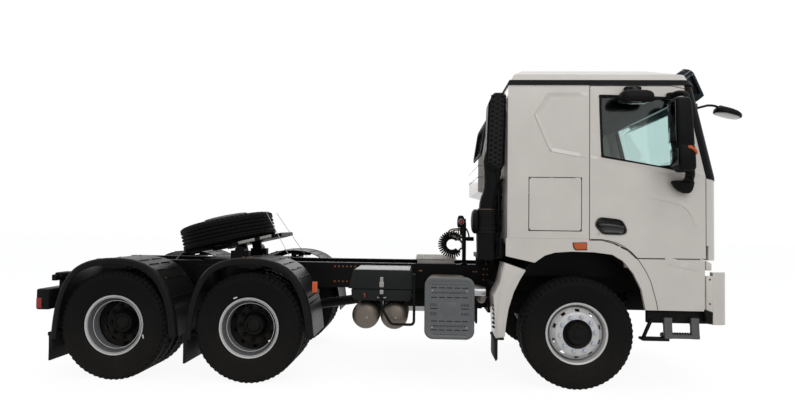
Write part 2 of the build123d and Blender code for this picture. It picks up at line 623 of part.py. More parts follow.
VISOR_HALF_WIDTH = 1010.0
VISOR_OUTLINE = [(1082, 3152), (1138, 3148), (1196, 3118), (1290, 2886), (1286, 2866), (1214, 2814), (1205, 2829),
                 (1262, 2880), (1172, 3104), (1130, 3131), (1082, 3135)]
VISOR_STAYS_Y = (-955.0, -320.0, 320.0, 955.0)
VISOR_STAY = 24.0
with BuildPart() as sun_visor:
    # stays reach from the roof to the sheet
    for y in VISOR_STAYS_Y:
        with BuildSketch(side_plane(y - VISOR_STAY / 2)):
            with BuildLine():
                Polyline((1000, 3010), (1176, 3090), (1182, 3090), (1250, 2920), (1250, 2905), (1000, 2950), close=True)
            make_face()
        extrude(amount=-VISOR_STAY)
    add(cab_outer, mode=Mode.SUBTRACT)
    add(gutter_strip, mode=Mode.SUBTRACT)
    with BuildSketch(side_plane(-VISOR_HALF_WIDTH)):
        with BuildLine():
            Polyline(*VISOR_OUTLINE, close=True)
        make_face()
    extrude(amount=-2 * VISOR_HALF_WIDTH)
save(sun_visor.part, "sun_visor")

MIRROR_ARM = [(1090, -1140, 2730), (1225, -1060, 2752), (1318, -1000, 2790), (1440, -1000, 2745)]
MIRROR_ARM_R = 11.0
with BuildPart() as front_mirror:
    with BuildLine() as arm_route:
        FilletPolyline(*[(station(x), y, z) for x, y, z in MIRROR_ARM], radius=30)
    with BuildSketch(Plane(origin=arm_route.line @ 0, z_dir=arm_route.line % 0)):
        Circle(MIRROR_ARM_R)
    sweep()
    with Locations((station(1118), -1125, 2735)):
        Box(60, 50, 80)
    add(cab_outer, mode=Mode.SUBTRACT)
    with BuildSketch(Plane(origin=(station(1512), -1000, 2708), x_dir=(0.965, 0, -0.26), z_dir=(0.26, 0, 0.965))):
        RectangleRounded(280, 210, 60)
    extrude(amount=46, taper=14)
save(front_mirror.part, "front_mirror")

INTAKE_Y = (950.0, 1160.0)
with BuildPart() as intake_upper:
    with BuildSketch(side_plane(-INTAKE_Y[1])):
        with BuildLine():
            Polyline((-862, 2690), (-812, 2872), (-690, 2872), (-690, 2200), (-740, 2110), (-850, 2300), close=True)
        make_face()
    extrude(amount=-(INTAKE_Y[1] - INTAKE_Y[0]))
    with BuildSketch(side_plane(-INTAKE_Y[1] + 30)):
        with BuildLine():
            Polyline((-860, 2310), (-740, 2210), (-742, 2014), (-775, 1810), (-768, 1680), (-932, 1680),
                     (-925, 1830), (-890, 2014), (-900, 2250), close=True)
        make_face()
    extrude(amount=-(INTAKE_Y[1] - INTAKE_Y[0] - 60))
    for z in (2700, 2300):
        with Locations((station((CAB_REAR - 690) / 2), -1050, z)):
            Box(10, 80, 60)
save(intake_upper.part, "intake_upper")

with BuildPart() as dashboard:
    with BuildSketch(side_plane(-1020)):
        with BuildLine():
            Polyline((1150, CAB_FLOOR_Z + 50), (1222, CAB_FLOOR_Z + 50), (1222, 2030), (850, 2000), (800, 1900),
                     (900, 1700), (1100, 1640), close=True)
        make_face()
    extrude(amount=-2 * 1020)
    with BuildSketch(Plane(origin=(station(900), 560, 1880), x_dir=(0, 1, 0), z_dir=(-0.55, 0, 0.83))):
        Circle(40)
    extrude(amount=210)
    wheel_plane_cab = Plane(origin=(station(900 - 0.55 * 210), 560, 1880 + 0.83 * 210), x_dir=(0, 1, 0),
                            z_dir=(-0.55, 0, 0.83))
    with Locations(wheel_plane_cab):
        Torus(225, 16)
        Box(440, 40, 24)
        Box(40, 440, 24)
save(dashboard.part, "dashboard")

with BuildPart() as seats:
    for y in (560, -560):
        with Locations((station(290), y, 1655)):
            Box(520, 520, 150)
        with Locations(Location((station(20), y, 2000), (0, -10, 0))):
            Box(130, 480, 720)
        with Locations((station(290), y, 1515)):
            Box(400, 380, 130)
    with Locations((station(-420), 0, 1820)):
        Box(380, 2 * wall_in - 60, 140)
    with Locations((station(-420), 0, 1600)):
        Box(340, 2 * wall_in - 200, 300)
save(seats.part, "seats")

# ---------------------------------------------------------------- fittings on the doors
for side_name, side in SIDES.items():
    with BuildPart() as door_fittings:
        # main mirror: housing, its two arms and the foot on the door
        with BuildSketch(Plane(origin=(station(915), side * 1465, 2115), x_dir=(1, 0, 0), z_dir=(0, 0, 1))):
            RectangleRounded(105, 200, 40)
        extrude(amount=640)
        with Locations((station(915), side * 1400, 2085)):
            Box(60, 60, 80)
        with Locations((station(940), side * (CAB_SIDE_Y + 0.5 + 97), 2040)):
            Box(70, 194, 40)
        with BuildSketch(side_plane(side * (CAB_SIDE_Y + 0.5))):
            with BuildLine():
                Polyline((880, 2030), (1070, 2040), (1050, 1925), (960, 1905), (890, 1950), close=True)
            make_face()
        extrude(amount=side * 130, dir=(0, 1, 0))
        with Locations((station(810), side * (CAB_SIDE_Y + 0.5 + 90), 2832)):
            Box(70, 180, 50)
        with Locations((station(860), side * 1440, 2790)):
            Box(150, 90, 90)
        # kerb mirror over the window
        with BuildSketch(Plane(origin=(station(465), side * 1400, 2700), x_dir=(1, 0, 0), z_dir=(0, 0, 1))):
            RectangleRounded(300, 180, 50)
        extrude(amount=80, taper=10)
        with Locations((station(465), side * (CAB_SIDE_Y + 0.5 + 70), 2820)):
            Box(130, 140, 90)
        # handle: a rim round the door's bowl and a pull bar across it
        handle_y = side * (CAB_SIDE_Y + 0.5)
        extrude(handle_face(handle_y, HANDLE_RIM), amount=HANDLE_RISE, dir=(0, side, 0))
        extrude(handle_face(handle_y, -HANDLE_RIM), amount=HANDLE_RISE, dir=(0, side, 0), mode=Mode.SUBTRACT)
        with BuildSketch(side_plane(handle_y)):
            with BuildLine():
                Polyline((165, 1605), (430, 1582), (430, 1555), (165, 1578), close=True)
            make_face()
        extrude(amount=HANDLE_RISE, dir=(0, side, 0))
    save(door_fittings.part, f"door_fittings_{side_name}")

# ---------------------------------------------------------------- rear mudguards
# guard outline about its axle: columns: station from the axle, Z from the axle
GUARD_OUTLINE = [(-612, -150), (-570, 220), (-420, 545), (-210, 640), (70, 645), (262, 608), (405, 520),
                 (530, 330), (590, 150), (632, -110)]
FLAP_BOTTOM_Z = 180.0
with BuildPart() as mudguards:
    for axle, lift in ((REAR_AXLE, 0.0), (MID_AXLE, 22.0)):
        for side in (1, -1):
            with BuildSketch(side_plane(side * GUARD_OUTER_Y)):
                with BuildLine():
                    FilletPolyline(*[(axle + x, WHEEL_Z + lift + z) for x, z in GUARD_OUTLINE], radius=110)
                trace(line_width=GUARD_SHEET)
            extrude(amount=side * (GUARD_OUTER_Y - GUARD_INNER_Y), dir=(0, -1, 0))
            # flap behind the wheel
            with Locations((station(axle - 628), side * (GUARD_OUTER_Y + GUARD_INNER_Y) / 2,
                            (FLAP_BOTTOM_Z + WHEEL_Z - 110) / 2)):
                Box(26, GUARD_OUTER_Y - GUARD_INNER_Y - 20, WHEEL_Z - 110 - FLAP_BOTTOM_Z)
            # stay from the frame rail
            top = WHEEL_Z + lift + 640
            with Locations((station(axle), side * (RAIL_OUTER_Y + GUARD_OUTER_Y - 100) / 2, RAIL_TOP - 24)):
                Box(60, GUARD_OUTER_Y - 100 - RAIL_OUTER_Y, 30)
            for y in (GUARD_INNER_Y + 60, GUARD_OUTER_Y - 120):
                with Locations((station(axle), side * y, (RAIL_TOP - 20 + top) / 2)):
                    Box(60, 30, top - RAIL_TOP + 20)
save(mudguards.part, "mudguards")

# ---------------------------------------------------------------- toolbox, air tanks and silencer on the right
BOX_X = (-2199.0, -1581.0)
BOX_Y = (470.0, 1100.0)
BOX_Z = (808.0, 921.0, 1116.0)
BOX_WALL = 8.0
LID_GAP = 5.0
GUARD_TUBE_R = 13.0
TUBE_Y = 1122.0
box_mid = (sum(BOX_X) / 2, -sum(BOX_Y) / 2)
with BuildPart() as toolbox:
    with Locations((station(box_mid[0]), box_mid[1], (BOX_Z[0] + BOX_Z[1]) / 2)):
        Box(BOX_X[1] - BOX_X[0], BOX_Y[1] - BOX_Y[0], BOX_Z[1] - BOX_Z[0])
    with Locations((station(box_mid[0]), box_mid[1], (BOX_Z[0] + BOX_Z[1]) / 2 + BOX_WALL)):
        Box(BOX_X[1] - BOX_X[0] - 2 * BOX_WALL, BOX_Y[1] - BOX_Y[0] - 2 * BOX_WALL, BOX_Z[1] - BOX_Z[0],
            mode=Mode.SUBTRACT)
    for x in (BOX_X[0] + 100, BOX_X[1] - 100):
        with Locations((station(x), -(RAIL_OUTER_Y + BOX_Y[0]) / 2, (BOX_Z[0] + BOX_Z[1]) / 2)):
            Box(60, BOX_Y[0] - RAIL_OUTER_Y, BOX_Z[1] - BOX_Z[0])
    # bent tube in front of the air tanks
    with BuildLine() as guard_route:
        FilletPolyline((station(-1891), -TUBE_Y, BOX_Z[0] + 20), (station(-1884), -TUBE_Y, 740),
                       (station(-1792), -TUBE_Y, 585), (station(-1567), -TUBE_Y, 585),
                       (station(-1567), -TUBE_Y, BOX_Z[1] - 10), radius=45)
    with BuildSketch(Plane(origin=guard_route.line @ 0, z_dir=guard_route.line % 0)):
        Circle(GUARD_TUBE_R)
    sweep()
    with Locations((station(-1891), -(BOX_Y[1] + TUBE_Y) / 2, BOX_Z[0] + 30),
                   (station(-1575), -(BOX_Y[1] + TUBE_Y) / 2, BOX_Z[0] + 60)):
        Box(40, TUBE_Y - BOX_Y[1] + 4, 30)
save(toolbox.part, "toolbox")

with BuildPart() as toolbox_lid:
    lid_z = (BOX_Z[1] + LID_GAP, BOX_Z[2])
    with Locations((station(box_mid[0]), box_mid[1], sum(lid_z) / 2)):
        Box(BOX_X[1] - BOX_X[0], BOX_Y[1] - BOX_Y[0], lid_z[1] - lid_z[0])
    with Locations((station(box_mid[0]), box_mid[1], sum(lid_z) / 2 - BOX_WALL)):
        Box(BOX_X[1] - BOX_X[0] - 2 * BOX_WALL, BOX_Y[1] - BOX_Y[0] - 2 * BOX_WALL, lid_z[1] - lid_z[0],
            mode=Mode.SUBTRACT)
save(toolbox_lid.part, "toolbox_lid")

TANK_R = 137.0
TANK_Z = 651.0
TANK_STATIONS = (-2056.0, -1768.0)
TANK_Y = (480.0, 1050.0)
with BuildPart() as air_tanks:
    for x in TANK_STATIONS:
        with Locations(Location((station(x), -sum(TANK_Y) / 2, TANK_Z), (90, 0, 0))):
            Cylinder(TANK_R, TANK_Y[1] - TANK_Y[0])
    fillet(air_tanks.edges().filter_by(GeomType.CIRCLE), radius=34)
    for x in TANK_STATIONS:
        for y in (TANK_Y[0] + 90, TANK_Y[1] - 120):
            with Locations((station(x), -y, (TANK_Z + TANK_R + BOX_Z[0]) / 2 - 5)):
                Box(120, 45, BOX_Z[0] - TANK_Z - TANK_R + 10)
save(air_tanks.part, "air_tanks")

COVER_X = (-1466.0, -984.0)
COVER_Z = (465.0, 1062.0)
COVER_Y = 1222.0
COVER_SHEET = 6.0
PIPE_R = 42.0
PIPE_Y = -800.0
PIPE_Z = 910.0
PIPE_LOW_Z = 790.0
PIPE_TURN_X = -865.0
with BuildPart() as silencer:
    with Locations((station(sum(COVER_X) / 2), -870, sum(COVER_Z) / 2)):
        Box(COVER_X[1] - COVER_X[0] - 50, 620, COVER_Z[1] - COVER_Z[0] - 60)
    fillet(silencer.edges().filter_by(Axis.Y), radius=70)
    for z in (COVER_Z[0] + 470, COVER_Z[0] + 540):
        with Locations((station(sum(COVER_X) / 2), -(RAIL_OUTER_Y + 570) / 2, z)):
            Box(300, 570 - RAIL_OUTER_Y, 40)
    # exhaust pipe from the engine's back, under the rail
    with BuildLine() as pipe_route:
        FilletPolyline((station(COVER_X[1] - 40), PIPE_Y, PIPE_Z), (station(PIPE_TURN_X), PIPE_Y, PIPE_Z),
                       (station(PIPE_TURN_X), PIPE_Y + 120, PIPE_LOW_Z),
                       (station(PIPE_TURN_X), -260, PIPE_LOW_Z), (station(ENGINE[0] - 1), -260, PIPE_LOW_Z), radius=55)
    with BuildSketch(Plane(origin=pipe_route.line @ 0, z_dir=pipe_route.line % 0)):
        Circle(PIPE_R)
    sweep()
save(silencer.part, "silencer")

with BuildPart() as silencer_cover:
    with BuildSketch(side_plane(-COVER_Y)):
        with Locations((sum(COVER_X) / 2, sum(COVER_Z) / 2)):
            RectangleRounded(COVER_X[1] - COVER_X[0], COVER_Z[1] - COVER_Z[0], 85)
    extrude(amount=-40)
save(silencer_cover.part, "silencer_cover")

DECK_X = (-1568.0, -1118.0)
DECK_Z = 1198.0
with BuildPart() as walkway_plate:
    with Locations((station(sum(DECK_X) / 2), 0, DECK_Z - 4)):
        Box(DECK_X[1] - DECK_X[0], 900, 8)
    for y in (-400, 400):
        with Locations((station(sum(DECK_X) / 2), y, (RAIL_TOP + DECK_Z - 4) / 2)):
            Box(DECK_X[1] - DECK_X[0] - 40, 12, DECK_Z - 4 - RAIL_TOP)
save(walkway_plate.part, "walkway_plate")

TANK_SIZE = (1180.0, 640.0, 600.0)
with BuildPart() as fuel_tank:
    with Locations((station(-1560), 480 + TANK_SIZE[1] / 2, 770)):
        Box(*TANK_SIZE)
    fillet(fuel_tank.edges().filter_by(Axis.X), radius=110)
    for x in (-1960, -1160):
        with Locations((station(x), (RAIL_OUTER_Y + 520) / 2, 950)):
            Box(70, 520 - RAIL_OUTER_Y, 160)
save(fuel_tank.part, "fuel_tank")

# ---------------------------------------------------------------- fifth wheel and spare wheel
PEDESTAL_Y = (330.0, 420.0)
PIN_R = 30.0
with BuildPart() as fifth_wheel_base:
    with Locations((station(COUPLING_X), 0, RAIL_TOP + 8)):
        Box(820, 2 * RAIL_OUTER_Y, 16)
    for side in (1, -1):
        with Locations((station(COUPLING_X), side * sum(PEDESTAL_Y) / 2, (RAIL_TOP + 16 + COUPLING_PIVOT_Z) / 2)):
            Box(200, PEDESTAL_Y[1] - PEDESTAL_Y[0], COUPLING_PIVOT_Z - RAIL_TOP - 16)
        with Locations(Location((station(COUPLING_X), side * sum(PEDESTAL_Y) / 2, COUPLING_PIVOT_Z), (90, 0, 0))):
            Cylinder(55, PEDESTAL_Y[1] - PEDESTAL_Y[0])
            Cylinder(PIN_R + RUNNING_GAP, 400, mode=Mode.SUBTRACT)
save(fifth_wheel_base.part, "fifth_wheel_base")

COUPLING_FRONT = 470.0
COUPLING_REAR = -330.0
COUPLING_HALF_WIDTH = 455.0
THROAT_HALF = 170.0
plate_plane = tilted_plane()
with BuildPart() as coupling_plate:
    with BuildSketch(plate_plane):
        with BuildLine():
            Polyline((COUPLING_FRONT, -280), (COUPLING_FRONT, 280), (COUPLING_FRONT - 150, COUPLING_HALF_WIDTH),
                     (-60, COUPLING_HALF_WIDTH), (COUPLING_REAR, 330), (COUPLING_REAR, THROAT_HALF),
                     (-70, KINGPIN_BORE_R + 30), (-70, -KINGPIN_BORE_R - 30),
                     (COUPLING_REAR, -THROAT_HALF), (COUPLING_REAR, -330), (-60, -COUPLING_HALF_WIDTH),
                     (COUPLING_FRONT - 150, -COUPLING_HALF_WIDTH), close=True)
        make_face()
        Circle(KINGPIN_BORE_R, mode=Mode.SUBTRACT)
    extrude(amount=-COUPLING_PLATE)
    pivot_plane = plate_plane.offset(-COUPLING_RISE)
    for side in (1, -1):
        # ears that carry the pivot pin inside the pedestals
        with Locations((pivot_plane * Location((0, side * 295, 30)))):
            Box(110, 50, 110)
        with Locations((pivot_plane * Location((0, side * 345, 0), (90, 0, 0)))):
            Cylinder(PIN_R, 150)
save(coupling_plate.part, "coupling_plate")

SPARE_CENTRE = -215.0
spare_plane = plate_plane.offset(TYRE_WIDTH / 2 + 1)
spare_origin = spare_plane.from_local_coords((SPARE_CENTRE, 0, 0))
spare_axis = Axis(spare_origin, spare_plane.z_dir)
spare_section_plane = Plane(origin=spare_origin, x_dir=spare_plane.z_dir, z_dir=(0, -1, 0))
with BuildPart() as spare_tyre:
    revolve(tyre_section(spare_section_plane, 0), axis=spare_axis)
save(spare_tyre.part, "spare_tyre")
with BuildPart() as spare_rim:
    revolve(rim_section(spare_section_plane, 0, 120, -1), axis=spare_axis)
    with BuildSketch(Plane(origin=spare_origin + spare_plane.z_dir * 70, x_dir=spare_plane.x_dir, z_dir=spare_plane.z_dir)):
        with PolarLocations(236, HAND_HOLES):
            SlotOverall(52, 24, rotation=90)
    extrude(amount=80, mode=Mode.SUBTRACT)
save(spare_rim.part, "spare_rim")

# ---------------------------------------------------------------- front end
BUMPER_REAR = 1245.0
BUMPER_FRONT = 1445.0
BUMPER_Z = (658.0, 1050.0, 1150.0)
BUMPER_WALL = 60.0
TOW_BORE_R = 21.0
TOW_Z = 760.0
LAMP_Y = (800.0, 1120.0)
LAMP_Z = (790.0, 960.0)


def bumper_section(z, inset, reach):
    """Bumper outline seen from above: open at the back, rounded at its corners."""
    with BuildSketch(Plane(origin=(FRONT_AXLE_X, 0, z))) as section:
        side = CAB_SIDE_Y - inset
        corner = BUMPER_REAR + 50
        shoulder = corner + 95 - inset
        shoulder_y = side - 110
        with BuildLine():
            Line((corner, side), (BUMPER_REAR - reach, side))
            Line((BUMPER_REAR - reach, side), (BUMPER_REAR - reach, -side))
            Line((BUMPER_REAR - reach, -side), (corner, -side))
            ThreePointArc((corner, -side), (corner + 0.75 * (shoulder - corner), -shoulder_y - 82), (shoulder, -shoulder_y))
            ThreePointArc((shoulder, -shoulder_y), (BUMPER_FRONT - inset, 0), (shoulder, shoulder_y))
            ThreePointArc((shoulder, shoulder_y), (corner + 0.75 * (shoulder - corner), shoulder_y + 82), (corner, side))
        make_face()
    return section.sketch


lamp_zone = [Pos(station(1400), side * sum(LAMP_Y) / 2, sum(LAMP_Z) / 2)
             * Box(400, LAMP_Y[1] - LAMP_Y[0], LAMP_Z[1] - LAMP_Z[0]) for side in (1, -1)]
with BuildPart() as bumper:
    extrude(bumper_section(BUMPER_Z[0], 0, 0), amount=BUMPER_Z[2] - BUMPER_Z[0])
    extrude(bumper_section(BUMPER_Z[0] - 1, BUMPER_WALL, 10), amount=BUMPER_Z[2] - BUMPER_Z[0] + 2, mode=Mode.SUBTRACT)
    with Locations((station(BUMPER_FRONT), 0, (BUMPER_Z[1] + BUMPER_Z[2]) / 2 + 1)):
        Box(400, 2 * (CAB_SIDE_Y - 90), BUMPER_Z[2] - BUMPER_Z[1] + 2, mode=Mode.SUBTRACT)
    for zone in lamp_zone:
        add(zone, mode=Mode.SUBTRACT)
    # socket of the towing pin
    with Locations(Location((station(BUMPER_FRONT - BUMPER_WALL / 2), 0, TOW_Z), (0, 90, 0))):
        Cylinder(TOW_BORE_R, 3 * BUMPER_WALL, mode=Mode.SUBTRACT)
    # stays from the rails' front ends
    for side in (1, -1):
        with Locations((station((RAIL_FRONT + 1400) / 2), side * 390, 960)):
            Box(1400 - RAIL_FRONT, 80, 120)
save(bumper.part, "bumper")

bumper_bar = (Part() + extrude(bumper_section(BUMPER_Z[0], 0, 0), amount=400)
              - extrude(bumper_section(BUMPER_Z[0] - 1, BUMPER_WALL, 10), amount=402))
REAR_LAMP = ((RAIL_REAR - 156.0, RAIL_REAR - 12.0), (860.0, 1210.0), (671.0, 880.0))
with BuildPart() as lamps:
    for zone in lamp_zone:
        add(bumper_bar & zone)
    for side in (1, -1):
        (x0, x1), (y0, y1), (z0, z1) = REAR_LAMP
        with Locations((station((x0 + x1) / 2), side * (y0 + y1) / 2, (z0 + z1) / 2)):
            Box(x1 - x0, y1 - y0, z1 - z0)
        # bracket to the frame's rear end
        with Locations((station(RAIL_REAR + 15), side * (RAIL_OUTER_Y + 1180) / 2, 990)):
            Box(30, 1180 - RAIL_OUTER_Y, 60)
        with Locations((station(RAIL_REAR), side * 1020, 920)):
            Box(30, 60, 140)
save(lamps.part, "lamps")

STEP_HANGERS = (838.0, 1088.0)
LOWER_BAR = (592.0, 846.0)
with BuildPart() as steps:
    for side in (1, -1):
        # black side rail under the step panel
        with Locations((station(950), side * 1150, 716)):
            Box(588, 50, 118)
        with Locations((station(1000), side * (RAIL_OUTER_Y + 1130) / 2, 716)):
            Box(60, 1130 - RAIL_OUTER_Y, 60)
        with Locations((station(1000), side * 455, 800)):
            Box(60, 50, 170)
        # grey step: two hangers that lean in, and a tread
        for x in STEP_HANGERS:
            with BuildSketch(Plane(origin=(station(x - 38), 0, 0), x_dir=(0, side, 0), z_dir=(side, 0, 0))):
                with BuildLine():
                    Polyline((1170, 716), (1222, 716), (1222, 655), (1236, 520), (1192, 520), (1184, 640), (1170, 660),
                             close=True)
                make_face()
            extrude(amount=side * 76)
        with Locations((station(sum(STEP_HANGERS) / 2), side * 1175, 540)):
            Box(STEP_HANGERS[1] - STEP_HANGERS[0] + 76, 122, 36)
        # black lower bar, hung from the grey step's rear and from the side rail by a rod
        with Locations((station(LOWER_BAR[0] / 2 + LOWER_BAR[1] / 2), side * 1180, 509)):
            Box(LOWER_BAR[1] - LOWER_BAR[0], 112, 26)
        with BuildSketch(side_plane(side * 1170)):
            with BuildLine():
                Polyline((LOWER_BAR[0], 496), (LOWER_BAR[0] + 26, 496), (LOWER_BAR[0] + 100, 690), (LOWER_BAR[0] + 74, 690),
                         close=True)
            make_face()
        extrude(amount=side * 40, dir=(0, -1, 0))
save(steps.part, "steps")

# ---------------------------------------------------------------- cab rear fenders, intake, hose mast
with BuildPart() as cab_fenders:
    for side in (1, -1):
        with BuildSketch(side_plane(side * CAB_SIDE_Y)):
            with BuildLine():
                Polyline((-705, 1216), (-491, 1146), (-551, 1048), (-608, 931), (-657, 772), (-678, 641),
                         (-692, 497), (-788, 485), (-810, 892), (-746, 1016), close=True)
            make_face()
        extrude(amount=side * 340, dir=(0, -1, 0))
        with Locations((station(-770), side * 1050, 380)):
            Box(16, 280, 230)
        with Locations((station(-760), side * (RAIL_OUTER_Y + 905) / 2, 960)):
            Box(50, 905 - RAIL_OUTER_Y, 50)
save(cab_fenders.part, "cab_fenders")

with BuildPart() as intake_lower:
    with Locations((station(-857), -1040, 1575)):
        Cylinder(92, 190)
    with Locations((station(-857), -1040, 1360)):
        Box(180, 170, 260)
    with Locations((station(-857), -740, 1255)):
        Box(150, 640, 50)
    with Locations((station(-857), -440, 1184)):
        Box(100, 60, 92)
save(intake_lower.part, "intake_lower")

MAST_X = -1035.0
MAST_Y = -300.0
HOSE_R = 34.0
RING_R = 112.0
RING_CENTRE = (-1165.0, 1352.0)
RING_ENDS = (30.0, -40.0)
FITTING_R = 18.0
FITTING_LENGTH = 40.0


def ring_point(angle):
    """Point on the curly hose's ring, its angle counted up from straight ahead."""
    turn = math.radians(angle)
    return (station(RING_CENTRE[0]) + RING_R * math.cos(turn), MAST_Y - 20, RING_CENTRE[1] + RING_R * math.sin(turn))


with BuildPart() as curly_hose:
    with BuildLine() as hose_route:
        ThreePointArc(ring_point(RING_ENDS[0]), ring_point(175), ring_point(RING_ENDS[1]))
    with BuildSketch(Plane(origin=hose_route.line @ 0, z_dir=hose_route.line % 0)):
        Circle(HOSE_R)
    sweep()
save(curly_hose.part, "curly_hose")

with BuildPart() as hose_mast:
    with Locations((station(MAST_X), MAST_Y - 100, (RAIL_TOP + 1640) / 2)):
        Box(40, 12, 1640 - RAIL_TOP)
    with Locations((station(MAST_X), MAST_Y - 110, RAIL_TOP + 6)):
        Box(70, 60, 12)
    # coupling heads at the mast's top
    with Locations((station(MAST_X - 25), MAST_Y - 60, 1610)):
        Box(90, 90, 60)
    with Locations((station(MAST_X - 40), MAST_Y - 60, 1530)):
        Box(50, 60, 100)
    # block that takes both ends of the hose
    with Locations((station(-1036), MAST_Y - 50, RING_CENTRE[1] - 7)):
        Box(42, 100, 96)
    for end, way in ((0, -1), (1, 1)):
        with BuildSketch(Plane(origin=hose_route.line @ end, z_dir=(hose_route.line % end) * way)):
            Circle(FITTING_R)
        extrude(amount=FITTING_LENGTH)
save(hose_mast.part, "hose_mast")
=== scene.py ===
"""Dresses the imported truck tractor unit: materials for its solids, and modelled detail on them.

Run as a script it registers the add-on below and calls its operators in order.
Lengths are metres in the model's frame: +X forward, +Y left, +Z up, ground at Z = 0.
Stations are X counted from the front axle.
"""
import math

import bmesh
import bpy
import numpy as np
from bpy.props import FloatProperty, FloatVectorProperty, IntProperty, PointerProperty
from mathutils import Matrix, Vector
from mathutils.bvhtree import BVHTree


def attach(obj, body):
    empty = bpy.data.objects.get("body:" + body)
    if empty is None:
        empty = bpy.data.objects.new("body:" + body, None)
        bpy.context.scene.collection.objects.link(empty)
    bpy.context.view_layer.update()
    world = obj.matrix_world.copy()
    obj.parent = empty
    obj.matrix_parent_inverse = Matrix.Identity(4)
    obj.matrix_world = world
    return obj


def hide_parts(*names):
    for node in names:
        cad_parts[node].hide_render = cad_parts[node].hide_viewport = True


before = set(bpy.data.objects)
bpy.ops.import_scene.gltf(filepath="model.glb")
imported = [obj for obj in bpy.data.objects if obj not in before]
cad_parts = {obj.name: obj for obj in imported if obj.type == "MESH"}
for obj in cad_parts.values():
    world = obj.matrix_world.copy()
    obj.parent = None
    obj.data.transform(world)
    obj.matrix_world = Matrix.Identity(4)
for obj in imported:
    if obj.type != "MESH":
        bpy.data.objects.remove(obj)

bl_info = {
    "name": "Truck tractor dresser",
    "version": (1, 0, 0),
    "blender": (4, 5, 0),
    "location": "View3D > Sidebar > Truck",
    "description": "Dresses a packed truck tractor unit with materials and modelled detail",
    "category": "Object",
}

SIDES = {"left": 1.0, "right": -1.0}
# X of the front axle in the frame, and the stations of the other two
FRONT_AXLE = 1.84
MID_AXLE = -3.175
REAR_AXLE = -4.525
# middles of the wheels: height, places across, and how far a twin wheel stands from the pair's middle
WHEEL_Z = 0.537
FRONT_WHEEL_Y = 1.038
DUAL_WHEEL_Y = 0.93
TWIN_OFFSET = 0.171
CAB_SIDE = 1.235


# ---------------------------------------------------------------- settings
class TRUCK_PG_camera(bpy.types.PropertyGroup):
    """Where the picture is taken from."""

    location: FloatVectorProperty(
        name="Location", description="Camera place, X counted from the front axle", size=3, subtype="XYZ",
        unit="LENGTH", default=(-1.4807, -6.8098, 1.5535))
    yaw: FloatProperty(name="Yaw", description="Turn to the left of straight across", subtype="ANGLE",
                       default=0.04596)
    pitch: FloatProperty(name="Pitch", description="Tilt upward", subtype="ANGLE", default=0.03247)
    roll: FloatProperty(name="Roll", description="Lean of the picture", subtype="ANGLE", default=0.0128)
    focal: FloatProperty(name="Focal length", description="Focal length in pictures' widths",
                         default=0.72478, min=0.1)


class TRUCK_PG_paint(bpy.types.PropertyGroup):
    """Colours and road dirt."""

    cab: FloatVectorProperty(name="Cab", description="Paint of the cab", size=3, subtype="COLOR",
                             min=0.0, max=1.0, default=(0.7, 0.652, 0.592))
    dust: FloatVectorProperty(name="Dust", description="Colour of the road film", size=3, subtype="COLOR",
                              min=0.0, max=1.0, default=(0.2, 0.175, 0.145))
    film: FloatProperty(name="Film", description="How much road film lies on low pieces", subtype="FACTOR",
                        min=0.0, max=1.0, default=0.14)


class TRUCK_PG_wheels(bpy.types.PropertyGroup):
    """Sizes of the tyres and rims."""

    tyre_radius: FloatProperty(name="Tyre radius", description="Radius over the tread", unit="LENGTH",
                               default=0.537)
    tread_half: FloatProperty(name="Half tread", description="Half of the tread's width", unit="LENGTH",
                              default=0.113)
    groove: FloatProperty(name="Groove", description="Depth of the tread's grooves", unit="LENGTH",
                          default=0.013)
    lugs: IntProperty(name="Lugs", description="Shoulder lugs round a tyre", default=60, min=12)
    studs: IntProperty(name="Studs", description="Wheel nuts on a rim", default=10, min=4)
    stud_circle: FloatProperty(name="Stud circle", description="Radius of the ring of nuts", unit="LENGTH",
                               default=0.1675)


# ---------------------------------------------------------------- mesh building
def at(x, y, z):
    """Point in the model's frame from a station."""
    return Vector((FRONT_AXLE + x, y, z))


def grid_faces(rows, cols, wrap_rows=False, wrap_cols=False):
    """Quads of a grid of rows by cols points, closed round in either direction."""
    i = np.arange(rows if wrap_rows else rows - 1)[:, None]
    j = np.arange(cols if wrap_cols else cols - 1)[None, :]
    a, b = i * cols + j, ((i + 1) % rows) * cols + j
    c, d = ((i + 1) % rows) * cols + (j + 1) % cols, i * cols + (j + 1) % cols
    return np.stack(np.broadcast_arrays(a, b, c, d), axis=-1).reshape(-1, 4).tolist()


def end_faces(rows, cols, turn_over=False):
    """The first and the last ring of a grid that is closed round, as two flat faces."""
    first, last = list(range(cols)), list(range((rows - 1) * cols, rows * cols))
    return [first[::-1], last] if turn_over else [first, last[::-1]]


def circle(count, start=0.0):
    """Angles of count equal steps round a circle, the first of them start of a step on."""
    return (np.arange(count) + start) / count * 2 * math.pi


def join(parts):
    """One (points, faces) pair from several."""
    points, faces, count = [], [], 0
    for xyz, polygons in parts:
        points.append(np.asarray(xyz, float))
        faces += [[k + count for k in polygon] for polygon in polygons]
        count += len(xyz)
    return np.concatenate(points), faces


def moved(part, matrix):
    """The part carried by a 4 by 4 matrix."""
    xyz, faces = part
    m = np.array(matrix)
    return np.asarray(xyz) @ m[:3, :3].T + m[:3, 3], faces


def copies(part, matrices):
    """The part repeated at each matrix."""
    return join([moved(part, m) for m in matrices])


def mirrored(part):
    """The part reflected in the plane Y = 0."""
    xyz, faces = part
    return np.asarray(xyz) * [1, -1, 1], [polygon[::-1] for polygon in faces]


def for_side(part, side):
    """A part built for the right side, given for either side."""
    return mirrored(part) if side > 0 else part


def both_sides(*parts):
    """The parts and their reflection in the plane Y = 0, as one."""
    whole = join(parts)
    return join([whole, mirrored(whole)])


def place(x, y, z, turn=None):
    """Matrix to a station, with an optional turn (angle, axis)."""
    m = Matrix.Translation(at(x, y, z))
    return m @ Matrix.Rotation(turn[0], 4, turn[1]) if turn else m


